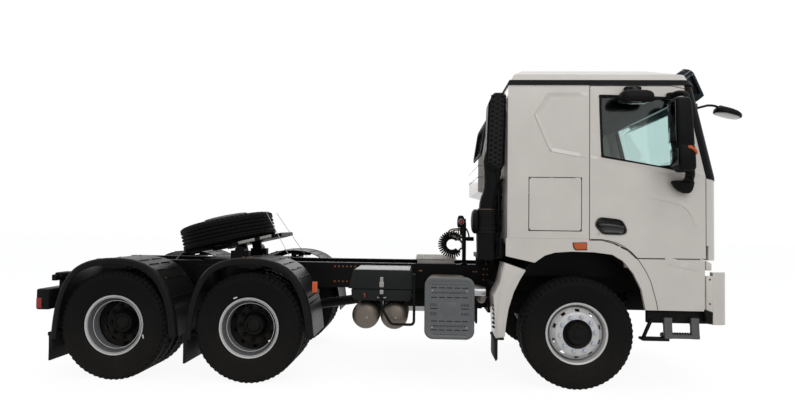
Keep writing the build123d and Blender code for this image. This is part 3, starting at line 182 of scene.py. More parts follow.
def taken(bm):
    """(points, faces) pair of a bmesh, which is freed."""
    bm.verts.index_update()
    part = np.array([v.co[:] for v in bm.verts]), [[v.index for v in f.verts] for f in bm.faces]
    bm.free()
    return part


def block(size, bevel=0.004, segments=2):
    """Box about the origin with rounded edges."""
    bm = bmesh.new()
    bmesh.ops.create_cube(bm, size=1.0)
    bmesh.ops.scale(bm, vec=size, verts=bm.verts)
    bmesh.ops.bevel(bm, geom=bm.edges[:], offset=min(bevel, min(size) * 0.45), segments=segments,
                    profile=0.5, affect="EDGES")
    return taken(bm)


def box(lo, hi, bevel=0.004, segments=2):
    """Rounded box between two corners given with stations."""
    lo, hi = np.minimum(lo, hi), np.maximum(lo, hi)
    return moved(block(tuple(hi - lo), bevel, segments), place(*((lo + hi) / 2)))


def prism(outline, y0, y1, bevel=0.003):
    """Plate with an outline of (station, Z) points between two Y places, its edges rounded."""
    bm = bmesh.new()
    ring = [bm.verts.new((FRONT_AXLE + x, min(y0, y1), z)) for x, z in outline]
    face = bm.faces.new(ring)
    out = bmesh.ops.extrude_face_region(bm, geom=[face])
    carried = [g for g in out["geom"] if isinstance(g, bmesh.types.BMVert)]
    bmesh.ops.translate(bm, vec=(0, abs(y1 - y0), 0), verts=carried)
    bmesh.ops.recalc_face_normals(bm, faces=bm.faces)
    if bevel:
        bmesh.ops.bevel(bm, geom=bm.edges[:], offset=bevel, segments=2, profile=0.5, affect="EDGES")
    return taken(bm)


def smooth_path(points, steps=8, closed=False):
    """Points along a Catmull-Rom curve through the given ones."""
    p = np.asarray(points, float)
    before, after = (p[-1:], p[:2]) if closed else (2 * p[:1] - p[1:2], 2 * p[-1:] - p[-2:-1])
    p = np.concatenate([before, p, after])
    t = np.linspace(0, 1, steps, endpoint=False)[:, None]
    runs = []
    for a, b, c, d in zip(p[:-3], p[1:-2], p[2:-1], p[3:]):
        runs.append(0.5 * (2 * b + (c - a) * t + (2 * a - 5 * b + 4 * c - d) * t**2
                           + (3 * b - a - 3 * c + d) * t**3))
    out = np.concatenate(runs)
    return out if closed else np.concatenate([out, p[-2:-1]])


def placed(points, side=1.0):
    """(station, Y, Z) points in the model's frame, with Y for the given side."""
    return [tuple(at(x, side * y, z)) for x, y, z in points]


def on_side(points, y):
    """Side-view points (station, Z) as points in space at Y."""
    return [tuple(at(x, y, z)) for x, z in points]


def route(points, steps=6, side=1.0):
    """Smooth path through (station, Y, Z) points."""
    return smooth_path(placed(points, side), steps)


def distances(path):
    """How far along a path each of its points lies."""
    return np.r_[0.0, np.cumsum(np.linalg.norm(np.diff(path, axis=0), axis=1))]


def tube(path, radius, sides=12, closed=False):
    """Circle of the given radius carried square along the path, with flat ends.

    radius may be one number or one for each point of the path.
    """
    p = np.asarray(path, float)
    n = len(p)
    ahead = np.roll(p, -1, 0) - np.roll(p, 1, 0)
    if not closed:
        ahead[0], ahead[-1] = p[1] - p[0], p[-1] - p[-2]
    ahead /= np.linalg.norm(ahead, axis=1)[:, None]
    side = np.cross(ahead[0], (0, 0, 1.0))
    if np.linalg.norm(side) < 1e-3:
        side = np.cross(ahead[0], (0, 1.0, 0))
    sides_at = []
    for k in range(n):
        side = side - ahead[k] * (side @ ahead[k])
        side = side / np.linalg.norm(side)
        sides_at.append(side)
    sides_at = np.array(sides_at)
    up = np.cross(sides_at, ahead)
    a = circle(sides)
    r = np.broadcast_to(radius, (n,))[:, None, None]
    c, s = np.cos(a)[None, :, None], np.sin(a)[None, :, None]
    xyz = p[:, None] + r * (c * sides_at[:, None] + s * up[:, None])
    faces = grid_faces(n, sides, closed, True)
    if not closed:
        faces += end_faces(n, sides)
    return xyz.reshape(-1, 3), faces


def turned(profile, segments=48, ends=True):
    """Profile of (along, radius) rows turned about the Y axis: (r cos a, y, r sin a)."""
    rows = np.asarray(profile, float)
    a = circle(segments)
    xyz = np.stack([rows[:, 1:] * np.cos(a), np.broadcast_to(rows[:, :1], (len(rows), segments)),
                    rows[:, 1:] * np.sin(a)], axis=-1)
    faces = grid_faces(len(rows), segments, False, True)
    if ends:
        faces += end_faces(len(rows), segments)
    return xyz.reshape(-1, 3), faces


def superellipses(rows, power, around):
    """Closed upright form through level sections |x/a|^p + |y/b|^p = 1; rows are (Z, X, Y, a, b)."""
    a = circle(around)
    c, s = np.cos(a), np.sin(a)
    sx, sy = np.sign(c) * np.abs(c) ** (2 / power), np.sign(s) * np.abs(s) ** (2 / power)
    rings = [np.stack([x + hx * sx, y + hy * sy, np.full(around, z)], axis=-1) for z, x, y, hx, hy in rows]
    faces = grid_faces(len(rings), around, False, True) + end_faces(len(rings), around, True)
    return np.concatenate(rings), faces


def skin_tree(node):
    """Tree of a solid's surface, for casting rays at it."""
    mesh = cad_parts[node].data
    return BVHTree.FromPolygons([v.co[:] for v in mesh.vertices], [p.vertices[:] for p in mesh.polygons])


def piece(name, part, material, body, replaces=(), slot=None, angle=35.0):
    """Object made from a part, shaded smooth up to an angle, riding on a body."""
    xyz, faces = part
    mesh = bpy.data.meshes.new(name)
    mesh.from_pydata(np.asarray(xyz).tolist(), [], faces)
    bm = bmesh.new()
    bm.from_mesh(mesh)
    bmesh.ops.recalc_face_normals(bm, faces=bm.faces)
    bm.to_mesh(mesh)
    bm.free()
    mesh.polygons.foreach_set("use_smooth", [True] * len(mesh.polygons))
    mesh.set_sharp_from_angle(angle=math.radians(angle))
    mesh.materials.append(bpy.data.materials[material])
    mesh.update()
    obj = bpy.data.objects.new(name, mesh)
    bpy.context.scene.collection.objects.link(obj)
    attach(obj, body)
    if replaces:
        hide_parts(*replaces)
    return obj


# ---------------------------------------------------------------- materials
def node_group(name, inputs, outputs):
    """Empty shader node group with its sockets and its two end nodes."""
    group = bpy.data.node_groups.new(name, "ShaderNodeTree")
    for label, kind, default in inputs:
        socket = group.interface.new_socket(name=label, in_out="INPUT", socket_type=kind)
        if default is not None:
            socket.default_value = default
    for label, kind in outputs:
        group.interface.new_socket(name=label, in_out="OUTPUT", socket_type=kind)
    return group, group.nodes.new("NodeGroupInput"), group.nodes.new("NodeGroupOutput")


def add(tree, kind, **values):
    """Node with its properties and unlinked inputs set, or linked where a socket is given."""
    node = tree.nodes.new(kind)
    for key, value in values.items():
        if hasattr(node, key) and key not in node.inputs:
            setattr(node, key, value)
            continue
        socket = node.inputs[int(key[1:])] if key[0] == "i" and key[1:].isdigit() else node.inputs[key]
        if isinstance(value, bpy.types.NodeSocket):
            tree.links.new(value, socket)
        else:
            socket.default_value = value
    return node


def maths(tree, operation, a, b=0.0, clamp=False):
    """Output of a Math node."""
    return add(tree, "ShaderNodeMath", operation=operation, use_clamp=clamp, i0=a, i1=b).outputs[0]


def build_groups():
    """Node groups shared by the materials."""
    tree, start, end = node_group(
        "mottle", [("Vector", "NodeSocketVector", None), ("Scale", "NodeSocketFloat", 8.0),
                   ("Contrast", "NodeSocketFloat", 0.2)], [("Value", "NodeSocketFloat")])
    noise = add(tree, "ShaderNodeTexNoise", Vector=start.outputs["Vector"], Scale=start.outputs["Scale"],
                Detail=6.0, Roughness=0.62)
    swing = maths(tree, "MULTIPLY", maths(tree, "SUBTRACT", noise.outputs["Fac"], 0.5),
                  start.outputs["Contrast"])
    tree.links.new(maths(tree, "ADD", swing, 1.0), end.inputs["Value"])

    tree, start, end = node_group(
        "road_film", [("Vector", "NodeSocketVector", None), ("Low", "NodeSocketFloat", 0.0),
                      ("High", "NodeSocketFloat", 1.2), ("Amount", "NodeSocketFloat", 0.3)],
        [("Mask", "NodeSocketFloat")])
    height = add(tree, "ShaderNodeSeparateXYZ", Vector=start.outputs["Vector"]).outputs["Z"]
    low = add(tree, "ShaderNodeMapRange", Value=height, i1=start.outputs["High"], i2=start.outputs["Low"])
    patches = add(tree, "ShaderNodeTexNoise", Vector=start.outputs["Vector"], Scale=5.5, Detail=8.0,
                  Roughness=0.7)
    faces_up = add(tree, "ShaderNodeSeparateXYZ",
                   Vector=add(tree, "ShaderNodeNewGeometry").outputs["Normal"])
    settled = maths(tree, "MULTIPLY", maths(tree, "MAXIMUM", faces_up.outputs["Z"], 0.0), 0.55)
    sum_mask = maths(tree, "ADD", maths(tree, "MULTIPLY", low.outputs[0], 0.7), settled)
    spotted = maths(tree, "MULTIPLY", sum_mask, maths(tree, "MULTIPLY", patches.outputs["Fac"], 1.7))
    tree.links.new(maths(tree, "MULTIPLY", spotted, start.outputs["Amount"], clamp=True),
                   end.inputs["Mask"])

    tree, start, end = node_group(
        "grain", [("Vector", "NodeSocketVector", None), ("Scale", "NodeSocketFloat", 400.0),
                  ("Height", "NodeSocketFloat", 0.0004), ("Wave", "NodeSocketFloat", 0.0)],
        [("Normal", "NodeSocketVector")])
    fine = add(tree, "ShaderNodeTexNoise", Vector=start.outputs["Vector"], Scale=start.outputs["Scale"],
               Detail=3.0)
    broad = add(tree, "ShaderNodeTexNoise", Vector=start.outputs["Vector"], Scale=2.2, Detail=1.0)
    first = add(tree, "ShaderNodeBump", Height=broad.outputs["Fac"], Distance=start.outputs["Wave"],
                Strength=1.0)
    second = add(tree, "ShaderNodeBump", Height=fine.outputs["Fac"], Distance=start.outputs["Height"],
                 Strength=1.0, Normal=first.outputs["Normal"])
    tree.links.new(second.outputs["Normal"], end.inputs["Normal"])


# columns: base colour, roughness, metallic, coat, grain scale, grain height, wave, film, film's top,
# mottle scale
MATERIALS = {
    "black_plastic": ((0.005, 0.005, 0.0055), 0.42, 0.0, 0.0, 700.0, 0.0003, 0.0, 0.25, 1.2, 9.0),
    "gloss_black": ((0.006, 0.006, 0.0065), 0.32, 0.0, 0.05, 500.0, 0.00005, 0.0, 0.1, 1.2, 6.0),
    "chassis_black": ((0.0045, 0.0045, 0.0048), 0.38, 0.0, 0.0, 240.0, 0.0004, 0.0, 0.5, 1.25, 11.0),
    "guard_black": ((0.006, 0.0062, 0.0068), 0.34, 0.0, 0.0, 520.0, 0.0004, 0.002, 0.4, 1.3, 7.0),
    # twin wheels' discs near black: painted shade for the shadow that lies on them deep between the tyres
    "disc_dark": ((0.016, 0.015, 0.014), 0.4, 0.2, 0.0, 300.0, 0.0003, 0.002, 0.3, 1.0, 12.0),
    "tyre": ((0.004, 0.004, 0.0042), 0.62, 0.0, 0.0, 300.0, 0.0006, 0.0, 0.5, 0.9, 14.0),
    "rim_silver": ((0.6, 0.59, 0.58), 0.42, 0.3, 0.0, 420.0, 0.0002, 0.0, 0.35, 1.0, 16.0),
    "nut_zinc": ((0.42, 0.46, 0.52), 0.34, 0.55, 0.0, 380.0, 0.0002, 0.0, 0.1, 1.0, 30.0),
    "iron": ((0.008, 0.008, 0.008), 0.6, 0.3, 0.0, 160.0, 0.0012, 0.0, 0.6, 1.4, 9.0),
    "tank_metal": ((0.15, 0.125, 0.106), 0.46, 0.75, 0.0, 300.0, 0.0002, 0.0, 0.3, 1.0, 12.0),
    "cover_grey": ((0.105, 0.11, 0.114), 0.42, 0.25, 0.0, 420.0, 0.0002, 0.0, 0.3, 1.2, 10.0),
    "deck": ((0.42, 0.4, 0.37), 0.48, 0.6, 0.0, 350.0, 0.0003, 0.0, 0.5, 1.3, 14.0),
    "box_grey": ((0.017, 0.019, 0.019), 0.42, 0.0, 0.0, 320.0, 0.0003, 0.0, 0.5, 1.3, 8.0),
    "tank_alloy": ((0.33, 0.33, 0.335), 0.38, 0.8, 0.0, 300.0, 0.0002, 0.001, 0.3, 1.2, 10.0),
    # lighter grey for the tool box lid's top face: painted highlight where light from above falls; the
    # dials' rings wear it too
    "lid_edge": ((0.16, 0.165, 0.16), 0.4, 0.4, 0.0, 320.0, 0.0002, 0.0, 0.3, 1.3, 12.0),
    "cast_step": ((0.085, 0.085, 0.085), 0.5, 0.55, 0.0, 150.0, 0.001, 0.0, 0.5, 1.0, 18.0),
    "seat_cloth": ((0.05, 0.05, 0.055), 0.92, 0.0, 0.0, 900.0, 0.001, 0.0, 0.05, 3.0, 30.0),
    "dash": ((0.045, 0.045, 0.048), 0.62, 0.0, 0.0, 800.0, 0.0005, 0.0, 0.05, 3.0, 12.0),
    "hose": ((0.008, 0.008, 0.008), 0.3, 0.0, 0.0, 500.0, 0.0001, 0.0, 0.1, 1.6, 20.0),
    "rubber": ((0.011, 0.011, 0.011), 0.55, 0.0, 0.0, 400.0, 0.0004, 0.0, 0.3, 1.3, 15.0),
    "steel": ((0.42, 0.42, 0.43), 0.32, 0.85, 0.0, 350.0, 0.0002, 0.0, 0.2, 1.5, 18.0),
    "mirror": ((0.75, 0.77, 0.78), 0.04, 1.0, 0.0, 10.0, 0.0, 0.0, 0.0, 1.0, 4.0),
    "mirror_front": ((0.24, 0.24, 0.23), 0.1, 1.0, 0.0, 10.0, 0.0, 0.0, 0.0, 1.0, 4.0),
    # darker grey copy of rim_silver for the twin rims' shells: painted shade on the barrels deep in the
    # wheels
    "rim_grey": ((0.25, 0.25, 0.255), 0.38, 0.4, 0.0, 420.0, 0.0002, 0.0, 0.35, 1.0, 16.0),
    # dark lining under the roof and high on the side walls, darker than the cab's light-grey trim: painted
    # reflection that darkens the windows' upper part
    "lining": ((0.02, 0.021, 0.022), 0.9, 0.0, 0.0, 800.0, 0.0006, 0.0, 0.0, 3.0, 16.0),
    "mirror_dark": ((0.055, 0.058, 0.062), 0.06, 1.0, 0.0, 10.0, 0.0, 0.0, 0.0, 1.0, 4.0),
    "pipe_brown": ((0.085, 0.05, 0.03), 0.38, 0.3, 0.0, 300.0, 0.0002, 0.0, 0.3, 2.0, 20.0),
    "bolt_rust": ((0.22, 0.085, 0.035), 0.6, 0.4, 0.0, 300.0, 0.0005, 0.0, 0.2, 2.0, 40.0),
    "bare_steel": ((0.3, 0.29, 0.275), 0.42, 0.7, 0.0, 260.0, 0.0005, 0.0, 0.5, 1.6, 16.0),
    "white_mark": ((0.8, 0.8, 0.8), 0.5, 0.0, 0.0, 300.0, 0.0001, 0.0, 0.1, 1.0, 20.0),
    "pierced_black": ((0.017, 0.017, 0.0175), 0.45, 0.0, 0.0, 500.0, 0.0002, 0.0, 0.1, 1.2, 9.0),
    "cap_red": ((0.42, 0.012, 0.012), 0.35, 0.0, 0.2, 400.0, 0.0001, 0.0, 0.1, 1.2, 12.0),
    "dark": ((0.004, 0.004, 0.004), 0.9, 0.0, 0.0, 300.0, 0.0001, 0.0, 0.0, 1.0, 5.0),
}
# columns: colour, roughness, transmission
CLEAR_MATERIALS = {
    "glass": ((0.7, 0.83, 0.81), 0.02, 1.0),
    "lens_clear": ((0.92, 0.94, 0.95), 0.05, 0.85),
    "lens_amber": ((0.85, 0.13, 0.012), 0.12, 0.3),
    "lens_red": ((0.6, 0.015, 0.01), 0.14, 0.35),
    "visor_smoke": ((0.06, 0.085, 0.105), 0.1, 0.45),
}
# which material each solid of the model wears
NODE_MATERIALS = {
    "cab_paint": ["cab_shell", "door_panel_left", "door_panel_right", "locker_lid_left", "locker_lid_right",
                  "arch_panels", "bumper", "cab_fenders", "cab_bulge"],
    "black_plastic": ["cab_trim", "front_mirror", "intake_upper", "intake_lower", "door_fittings_left",
                      "door_fittings_right"],
    "chassis_black": ["frame_rails", "crossmembers", "front_axle_beam", "drive_axles", "leaf_springs",
                      "propshafts", "fifth_wheel_base", "coupling_plate", "hose_mast", "knuckle_left",
                      "knuckle_right", "tie_rod"],
    "guard_black": ["mudguards"],
    "iron": ["engine_block"],
    "tank_metal": ["air_tanks", "silencer", "fuel_tank"],
    "cover_grey": ["silencer_cover"],
    "deck": ["walkway_plate"],
    "box_grey": ["toolbox", "toolbox_lid"],
    "lens_red": ["lamps"],
    "cast_step": ["steps"],
    "seat_cloth": ["seats"],
    "dash": ["dashboard"],
    "hose": ["curly_hose"],
    "glass": ["cab_glass", "door_glass_left", "door_glass_right"],
    "visor_smoke": ["sun_visor"],
    "tyre": ["spare_tyre", "tyre_front_left", "tyre_front_right", "tyres_mid_left", "tyres_mid_right",
             "tyres_rear_left", "tyres_rear_right"],
    "rim_silver": ["spare_rim", "rim_front_left", "rim_front_right", "rims_mid_left", "rims_mid_right",
                   "rims_rear_left", "rims_rear_right"],
}


def fresh_material(name, colour, alpha=1.0):
    """Tree, shader and object coordinates of a new material.

    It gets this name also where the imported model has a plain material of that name.
    """
    packed = bpy.data.materials.get(name)
    if packed:
        packed.name = name + "_plain"
    material = bpy.data.materials.new(name)
    material.use_nodes = True
    material.diffuse_color = (*colour, alpha)
    tree = material.node_tree
    return tree, tree.nodes["Principled BSDF"], add(tree, "ShaderNodeTexCoord").outputs["Object"]


def grouped(tree, coords, kind, **values):
    """Output of a shared node group laid over coords, with its other inputs set."""
    node = tree.nodes.new("ShaderNodeGroup")
    node.node_tree = bpy.data.node_groups[kind]
    tree.links.new(coords, node.inputs["Vector"])
    for key, value in values.items():
        node.inputs[key].default_value = value
    return node.outputs[0]


def layered(name, base, rough, metal, coat, scale, height, wave, film, top, mottle):
    """Opaque material: mottled base colour under road film, with grain in its bump and roughness."""
    tree, shader, coords = fresh_material(name, base)
    paint = bpy.context.scene.truck_paint
    shade = grouped(tree, coords, "mottle", Scale=mottle, Contrast=0.35)
    mask = grouped(tree, coords, "road_film", Low=0.1, High=top, Amount=film * paint.film / 0.35)
    tint = add(tree, "ShaderNodeMix", data_type="RGBA", blend_type="MULTIPLY", i0=1.0, i6=(*base, 1.0),
               i7=add(tree, "ShaderNodeCombineXYZ", X=shade, Y=shade, Z=shade).outputs[0])
    dirty = add(tree, "ShaderNodeMix", data_type="RGBA", i0=maths(tree, "MULTIPLY", mask, 0.45),
                i6=tint.outputs[2], i7=(*paint.dust, 1.0))
    tree.links.new(dirty.outputs[2], shader.inputs["Base Color"])
    worn = maths(tree, "MULTIPLY", grouped(tree, coords, "mottle", Scale=mottle * 5, Contrast=0.5), rough)
    rougher = maths(tree, "ADD", worn, maths(tree, "MULTIPLY", mask, 0.4), clamp=True)
    tree.links.new(rougher, shader.inputs["Roughness"])
    shader.inputs["Metallic"].default_value = metal
    shader.inputs["Coat Weight"].default_value = coat
    shader.inputs["Coat Roughness"].default_value = 0.08
    # dark bare pieces shine less than painted ones
    shader.inputs["Specular IOR Level"].default_value = 0.07 if max(base) < 0.06 and not coat else 0.5
    bumped = grouped(tree, coords, "grain", Scale=scale, Height=height * 0.3, Wave=wave)
    tree.links.new(bumped, shader.inputs["Normal"])


def clear(name, colour, rough, transmission):
    """Glass or lens: a see-through shader with faint smears in its roughness."""
    tree, shader, coords = fresh_material(name, colour, 0.4)
    smear = grouped(tree, coords, "mottle", Scale=6.0, Contrast=0.8)
    tree.links.new(maths(tree, "MULTIPLY", smear, rough), shader.inputs["Roughness"])
    shader.inputs["Base Color"].default_value = (*colour, 1.0)
    shader.inputs["Transmission Weight"].default_value = transmission
    shader.inputs["IOR"].default_value = 1.45


class TRUCK_OT_materials(bpy.types.Operator):
    """Make the materials and put them on the model's solids"""

    bl_idname = "truck.materials"
    bl_label = "Materials"

    def execute(self, context):
        build_groups()
        paint = tuple(context.scene.truck_paint.cab)
        layered("cab_paint", paint, 0.32, 0.0, 0.5, 260.0, 0.00006, 0.0015, 0.1, 1.3, 1.6)
        for name, row in MATERIALS.items():
            layered(name, *row)
        for name, row in CLEAR_MATERIALS.items():
            clear(name, *row)
        for name, nodes in NODE_MATERIALS.items():
            for node in nodes:
                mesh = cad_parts[node].data
                mesh.materials.clear()
                mesh.materials.append(bpy.data.materials[name])
        return {"FINISHED"}


# ---------------------------------------------------------------- stage
class TRUCK_OT_stage(bpy.types.Operator):
    """Camera, soft lights, pale floor and white surroundings"""

    bl_idname = "truck.stage"
    bl_label = "Stage"

    def execute(self, context):
        scene = context.scene
        view = scene.truck_camera
        forward = Vector((-math.sin(view.yaw) * math.cos(view.pitch),
                          math.cos(view.yaw) * math.cos(view.pitch),
                          math.sin(view.pitch)))
        level = Vector((math.cos(view.yaw), math.sin(view.yaw), 0.0))
        rise = level.cross(forward)
        right = math.cos(view.roll) * level + math.sin(view.roll) * rise
        up = -math.sin(view.roll) * level + math.cos(view.roll) * rise
        camera = bpy.data.objects.new("camera", bpy.data.cameras.new("camera"))
        turn = Matrix((right, up, -forward)).transposed()
        camera.matrix_world = Matrix.Translation(at(*view.location)) @ turn.to_4x4()
        camera.data.sensor_width = 36.0
        camera.data.lens = 36.0 * view.focal
        camera.data.clip_end = 200.0
        scene.collection.objects.link(camera)
        scene.camera = camera

        # columns: name, place, size, power, aim
        for name, spot, size, power, aim in (
                ("key", (2.0, -9.0, 8.0), 7.0, 325.0, (-1.0, 0.0, 1.0)),
                ("top", (-1.5, 0.0, 10.0), 9.0, 92.0, (-1.5, 0.0, 0.0)),
                ("back", (-3.0, 9.0, 6.0), 7.0, 180.0, (-1.0, 0.0, 1.0))):
            lamp = bpy.data.objects.new(name, bpy.data.lights.new(name, "AREA"))
            lamp.data.size = size
            lamp.data.energy = power
            lamp.location = at(*spot)
            lamp.rotation_euler = (at(*aim) - at(*spot)).to_track_quat("-Z", "Y").to_euler()
            scene.collection.objects.link(lamp)

        def seen_white(tree):
            """1 for rays from the camera, through glass and off gloss, which see pure white."""
            paths = add(tree, "ShaderNodeLightPath")
            rays = maths(tree, "ADD", paths.outputs["Is Camera Ray"], paths.outputs["Is Transmission Ray"])
            return maths(tree, "ADD", rays, paths.outputs["Is Glossy Ray"], clamp=True)

        world = scene.world or bpy.data.worlds.new("world")
        scene.world = world
        world.use_nodes = True
        tree = world.node_tree
        tree.nodes.clear()
        sky = add(tree, "ShaderNodeBackground", Color=(0.93, 0.96, 1.0, 1.0), Strength=0.45)
        white = add(tree, "ShaderNodeBackground", Color=(1.0, 1.0, 1.0, 1.0), Strength=1.0)
        mix = add(tree, "ShaderNodeMixShader", i0=seen_white(tree), i1=sky.outputs[0], i2=white.outputs[0])
        tree.links.new(mix.outputs[0], add(tree, "ShaderNodeOutputWorld").inputs["Surface"])

        floor = bpy.data.meshes.new("floor")
        reach = 60.0  # half of the floor's side
        floor.from_pydata([(-reach, -reach, 0), (reach, -reach, 0), (reach, reach, 0), (-reach, reach, 0)],
                          [], [(0, 1, 2, 3)])
        material = bpy.data.materials.new("floor_pale")
        material.use_nodes = True
        tree = material.node_tree
        tree.nodes.clear()
        matte = add(tree, "ShaderNodeBsdfDiffuse", Color=(0.72, 0.72, 0.72, 1.0))
        glow = add(tree, "ShaderNodeEmission", Color=(1.0, 1.0, 1.0, 1.0), Strength=1.16)
        share = maths(tree, "MULTIPLY", seen_white(tree), 0.8)
        mix = add(tree, "ShaderNodeMixShader", i0=share, i1=matte.outputs[0], i2=glow.outputs[0])
        tree.links.new(mix.outputs[0], add(tree, "ShaderNodeOutputMaterial").inputs["Surface"])
        floor.materials.append(material)
        obj = bpy.data.objects.new("floor", floor)
        scene.collection.objects.link(obj)
        scene.view_settings.view_transform = "Standard"
        return {"FINISHED"}


# ---------------------------------------------------------------- wheels
def tyre_part(wheels, centre, side):
    """Tyre about (X, Z) = (0, 0) at Y = centre, its outer side towards side.

    Radius over the tread is its top less a groove's depth where a lug's gap, a rib's groove or a sipe lies:
    gaps are square waves of the turning angle at the shoulders, grooves are square waves of Y.
    """
    tread, top = wheels.tread_half, wheels.tyre_radius
    # columns: offset from the middle, radius, for one side wall from bead to shoulder
    wall = [(0.113, 0.286), (0.115, 0.3), (0.126, 0.312), (0.13, 0.32), (0.136, 0.336), (0.139, 0.338),
            (0.1425, 0.36), (0.1475, 0.395), (0.1496, 0.428), (0.1485, 0.452), (0.15, 0.4535), (0.15, 0.46),
            (0.1475, 0.4615), (0.1445, 0.48), (0.1395, 0.497), (0.1405, 0.499), (0.1385, 0.506),
            (0.1355, 0.507)]
    flank = [(0.131, top - 0.02), (0.122, top - 0.005)]
    crown = np.linspace(tread, -tread, 29)
    rows = wall + flank + [(y, top) for y in crown] + [(-y, r) for y, r in (wall + flank)[::-1]]
    rows = np.array(rows)
    around = wheels.lugs * 6
    a = circle(around)
    y, r = rows[:, :1], rows[:, 1:]
    phase = (a[None, :] * wheels.lugs / (2 * math.pi) + np.where(y > 0, 0.0, 0.5)) % 1.0
    edge = np.abs(y)
    on_crown = r > top - 0.001
    # places across the tread: edge of the shoulder lugs, the ribs' grooves (middle, half width), edge of the
    # sipes; a lug and three sipes share one step of the pattern
    lug_edge, grooves, sipe_edge = 0.066, ((0.062, 0.0065), (0.0205, 0.0055)), 0.056
    lug_gap = (phase < 0.34) & (edge > lug_edge) & (r > top - 0.034)
    rib = np.any([np.abs(edge - middle) < half for middle, half in grooves], axis=0) & on_crown
    sipe = ((phase * 3.0 % 1.0) < 0.16) & (edge < sipe_edge) & on_crown
    depth = np.where(lug_gap, wheels.groove * np.clip((edge - 0.06) / 0.1, 0.25, 0.42), 0.0)
    depth = np.maximum(depth, np.where(rib, wheels.groove, 0.0))
    depth = np.maximum(depth, np.where(sipe, wheels.groove * 0.4, 0.0))
    radius = r - depth
    inward = np.where(lug_gap & (r < top - 0.001), 0.01, 0.0) * np.sign(y)
    xyz = np.stack([radius * np.cos(a), centre + side * np.broadcast_to(y - inward, radius.shape),
                    radius * np.sin(a)], axis=-1)
    return xyz.reshape(-1, 3), grid_faces(len(rows), around, True, True)


def ring_of(part, radius, count, start=0.0):
    """The part repeated round the Y axis at a radius, its own X axis pointing outward."""
    return copies(part, [Matrix.Rotation(-(start + k * 2 * math.pi / count), 4, "Y")
                         @ Matrix.Translation((radius, 0, 0)) for k in range(count)])


def nut_part(height=0.034, across=0.0155):
    """Wheel nut along Y: washer, six-sided body and domed end, standing on Y = 0 towards -Y."""
    washer = turned([(0.0, 0.004), (0.0, 0.0235), (-0.004, 0.0235), (-0.005, 0.018), (-0.005, 0.004)], 24)
    body = turned([(-0.004, 0.002), (-0.004, across * 1.16), (-height * 0.8, across * 1.16),
                   (-height * 0.92, across * 0.9), (-height, across * 0.45), (-height, 0.001)], 6)
    return join([washer, body])


def shell_of(rows, side=1.0, segments=72):
    """Open shell of (Y, radius) rows about the Y axis, with Y for the given side."""
    return turned([(side * y, r) for y, r in rows], segments, ends=False)


def rim_profile(half=0.127, seat=0.286, flange=0.2985):
    """Section of a one-piece drop-centre rim as (Y, radius) rows, outer flange first."""
    return [(half, flange - 0.004), (half - 0.004, flange), (half - 0.01, flange - 0.003),
            (half - 0.013, seat), (half - 0.02, seat - 0.004), (half - 0.055, seat - 0.008),
            (half - 0.085, seat - 0.04), (-half + 0.12, seat - 0.04), (-half + 0.06, seat - 0.008),
            (-half + 0.013, seat), (-half + 0.01, flange - 0.003), (-half + 0.004, flange),
            (-half, flange - 0.004), (-half + 0.006, seat - 0.006), (-half + 0.03, seat - 0.014),
            (-half + 0.066, seat - 0.018), (-half + 0.128, seat - 0.048), (half - 0.09, seat - 0.048),
            (half - 0.058, seat - 0.018), (half - 0.024, seat - 0.013), (half - 0.006, seat - 0.006)]


def rim_part(centre, way):
    """Rim about the Y axis at Y = centre, its outer flange towards way."""
    rows = rim_profile()
    return turned([(centre + way * y, r) for y, r in rows + rows[:1]], 96, ends=False)


def disc_part(face, out, holes=10, bore=0.1405):
    """Wheel disc: a flat ring at face that flares outboard (out) to the rim, with slots in the flare.

    Faces are left out of the grid where the flare's slots are.
    """
    rows = [(0.0, bore), (0.0, 0.196), (0.006, 0.206), (0.014, 0.213), (0.021, 0.219), (0.033, 0.229),
            (0.041, 0.236), (0.055, 0.244), (0.062, 0.25)]
    # the grid's rows and columns that a slot takes, of those for each slot
    per_hole, slot_rows, slot_cols = 16, range(3, 6), range(5, 10)
    segments = holes * per_hole
    thick = 0.012
    a = circle(segments)
    sheets = []
    for lift in (0.0, thick):
        y = np.array([face + out * (p[0] + lift) for p in rows])
        r = np.array([p[1] for p in rows])
        sheets.append(np.stack([r[:, None] * np.cos(a), np.broadcast_to(y[:, None], (len(rows), segments)),
                                r[:, None] * np.sin(a)], axis=-1).reshape(-1, 3))
    offset = len(rows) * segments
    faces = []
    for i in range(len(rows) - 1):
        for j in range(segments):
            k = (j + 1) % segments
            if i in slot_rows and j % per_hole in slot_cols:
                continue
            quad = [i * segments + j, i * segments + k, (i + 1) * segments + k, (i + 1) * segments + j]
            faces += [quad, [q + offset for q in quad[::-1]]]

    def wall(p, q):
        """Face from the edge p to q of one sheet across to the other sheet."""
        return [p, q, q + offset, p + offset]

    # walls of the bore and of the slots
    for j in range(segments):
        k = (j + 1) % segments
        faces.append(wall(j, k))
        if j % per_hole in slot_cols:
            faces += [wall(i * segments + j, i * segments + k) for i in (slot_rows.start, slot_rows.stop)]
        if j % per_hole in (slot_cols.start, slot_cols.stop):
            faces += [wall(i * segments + j, (i + 1) * segments + j) for i in slot_rows]
    return np.concatenate(sheets), faces


# chalk marks on the outer tyres: station, Z and lean
CHALK = {"rear": (-4.214, 0.438, 1.35), "mid": (-3.306, 0.831, -0.35)}
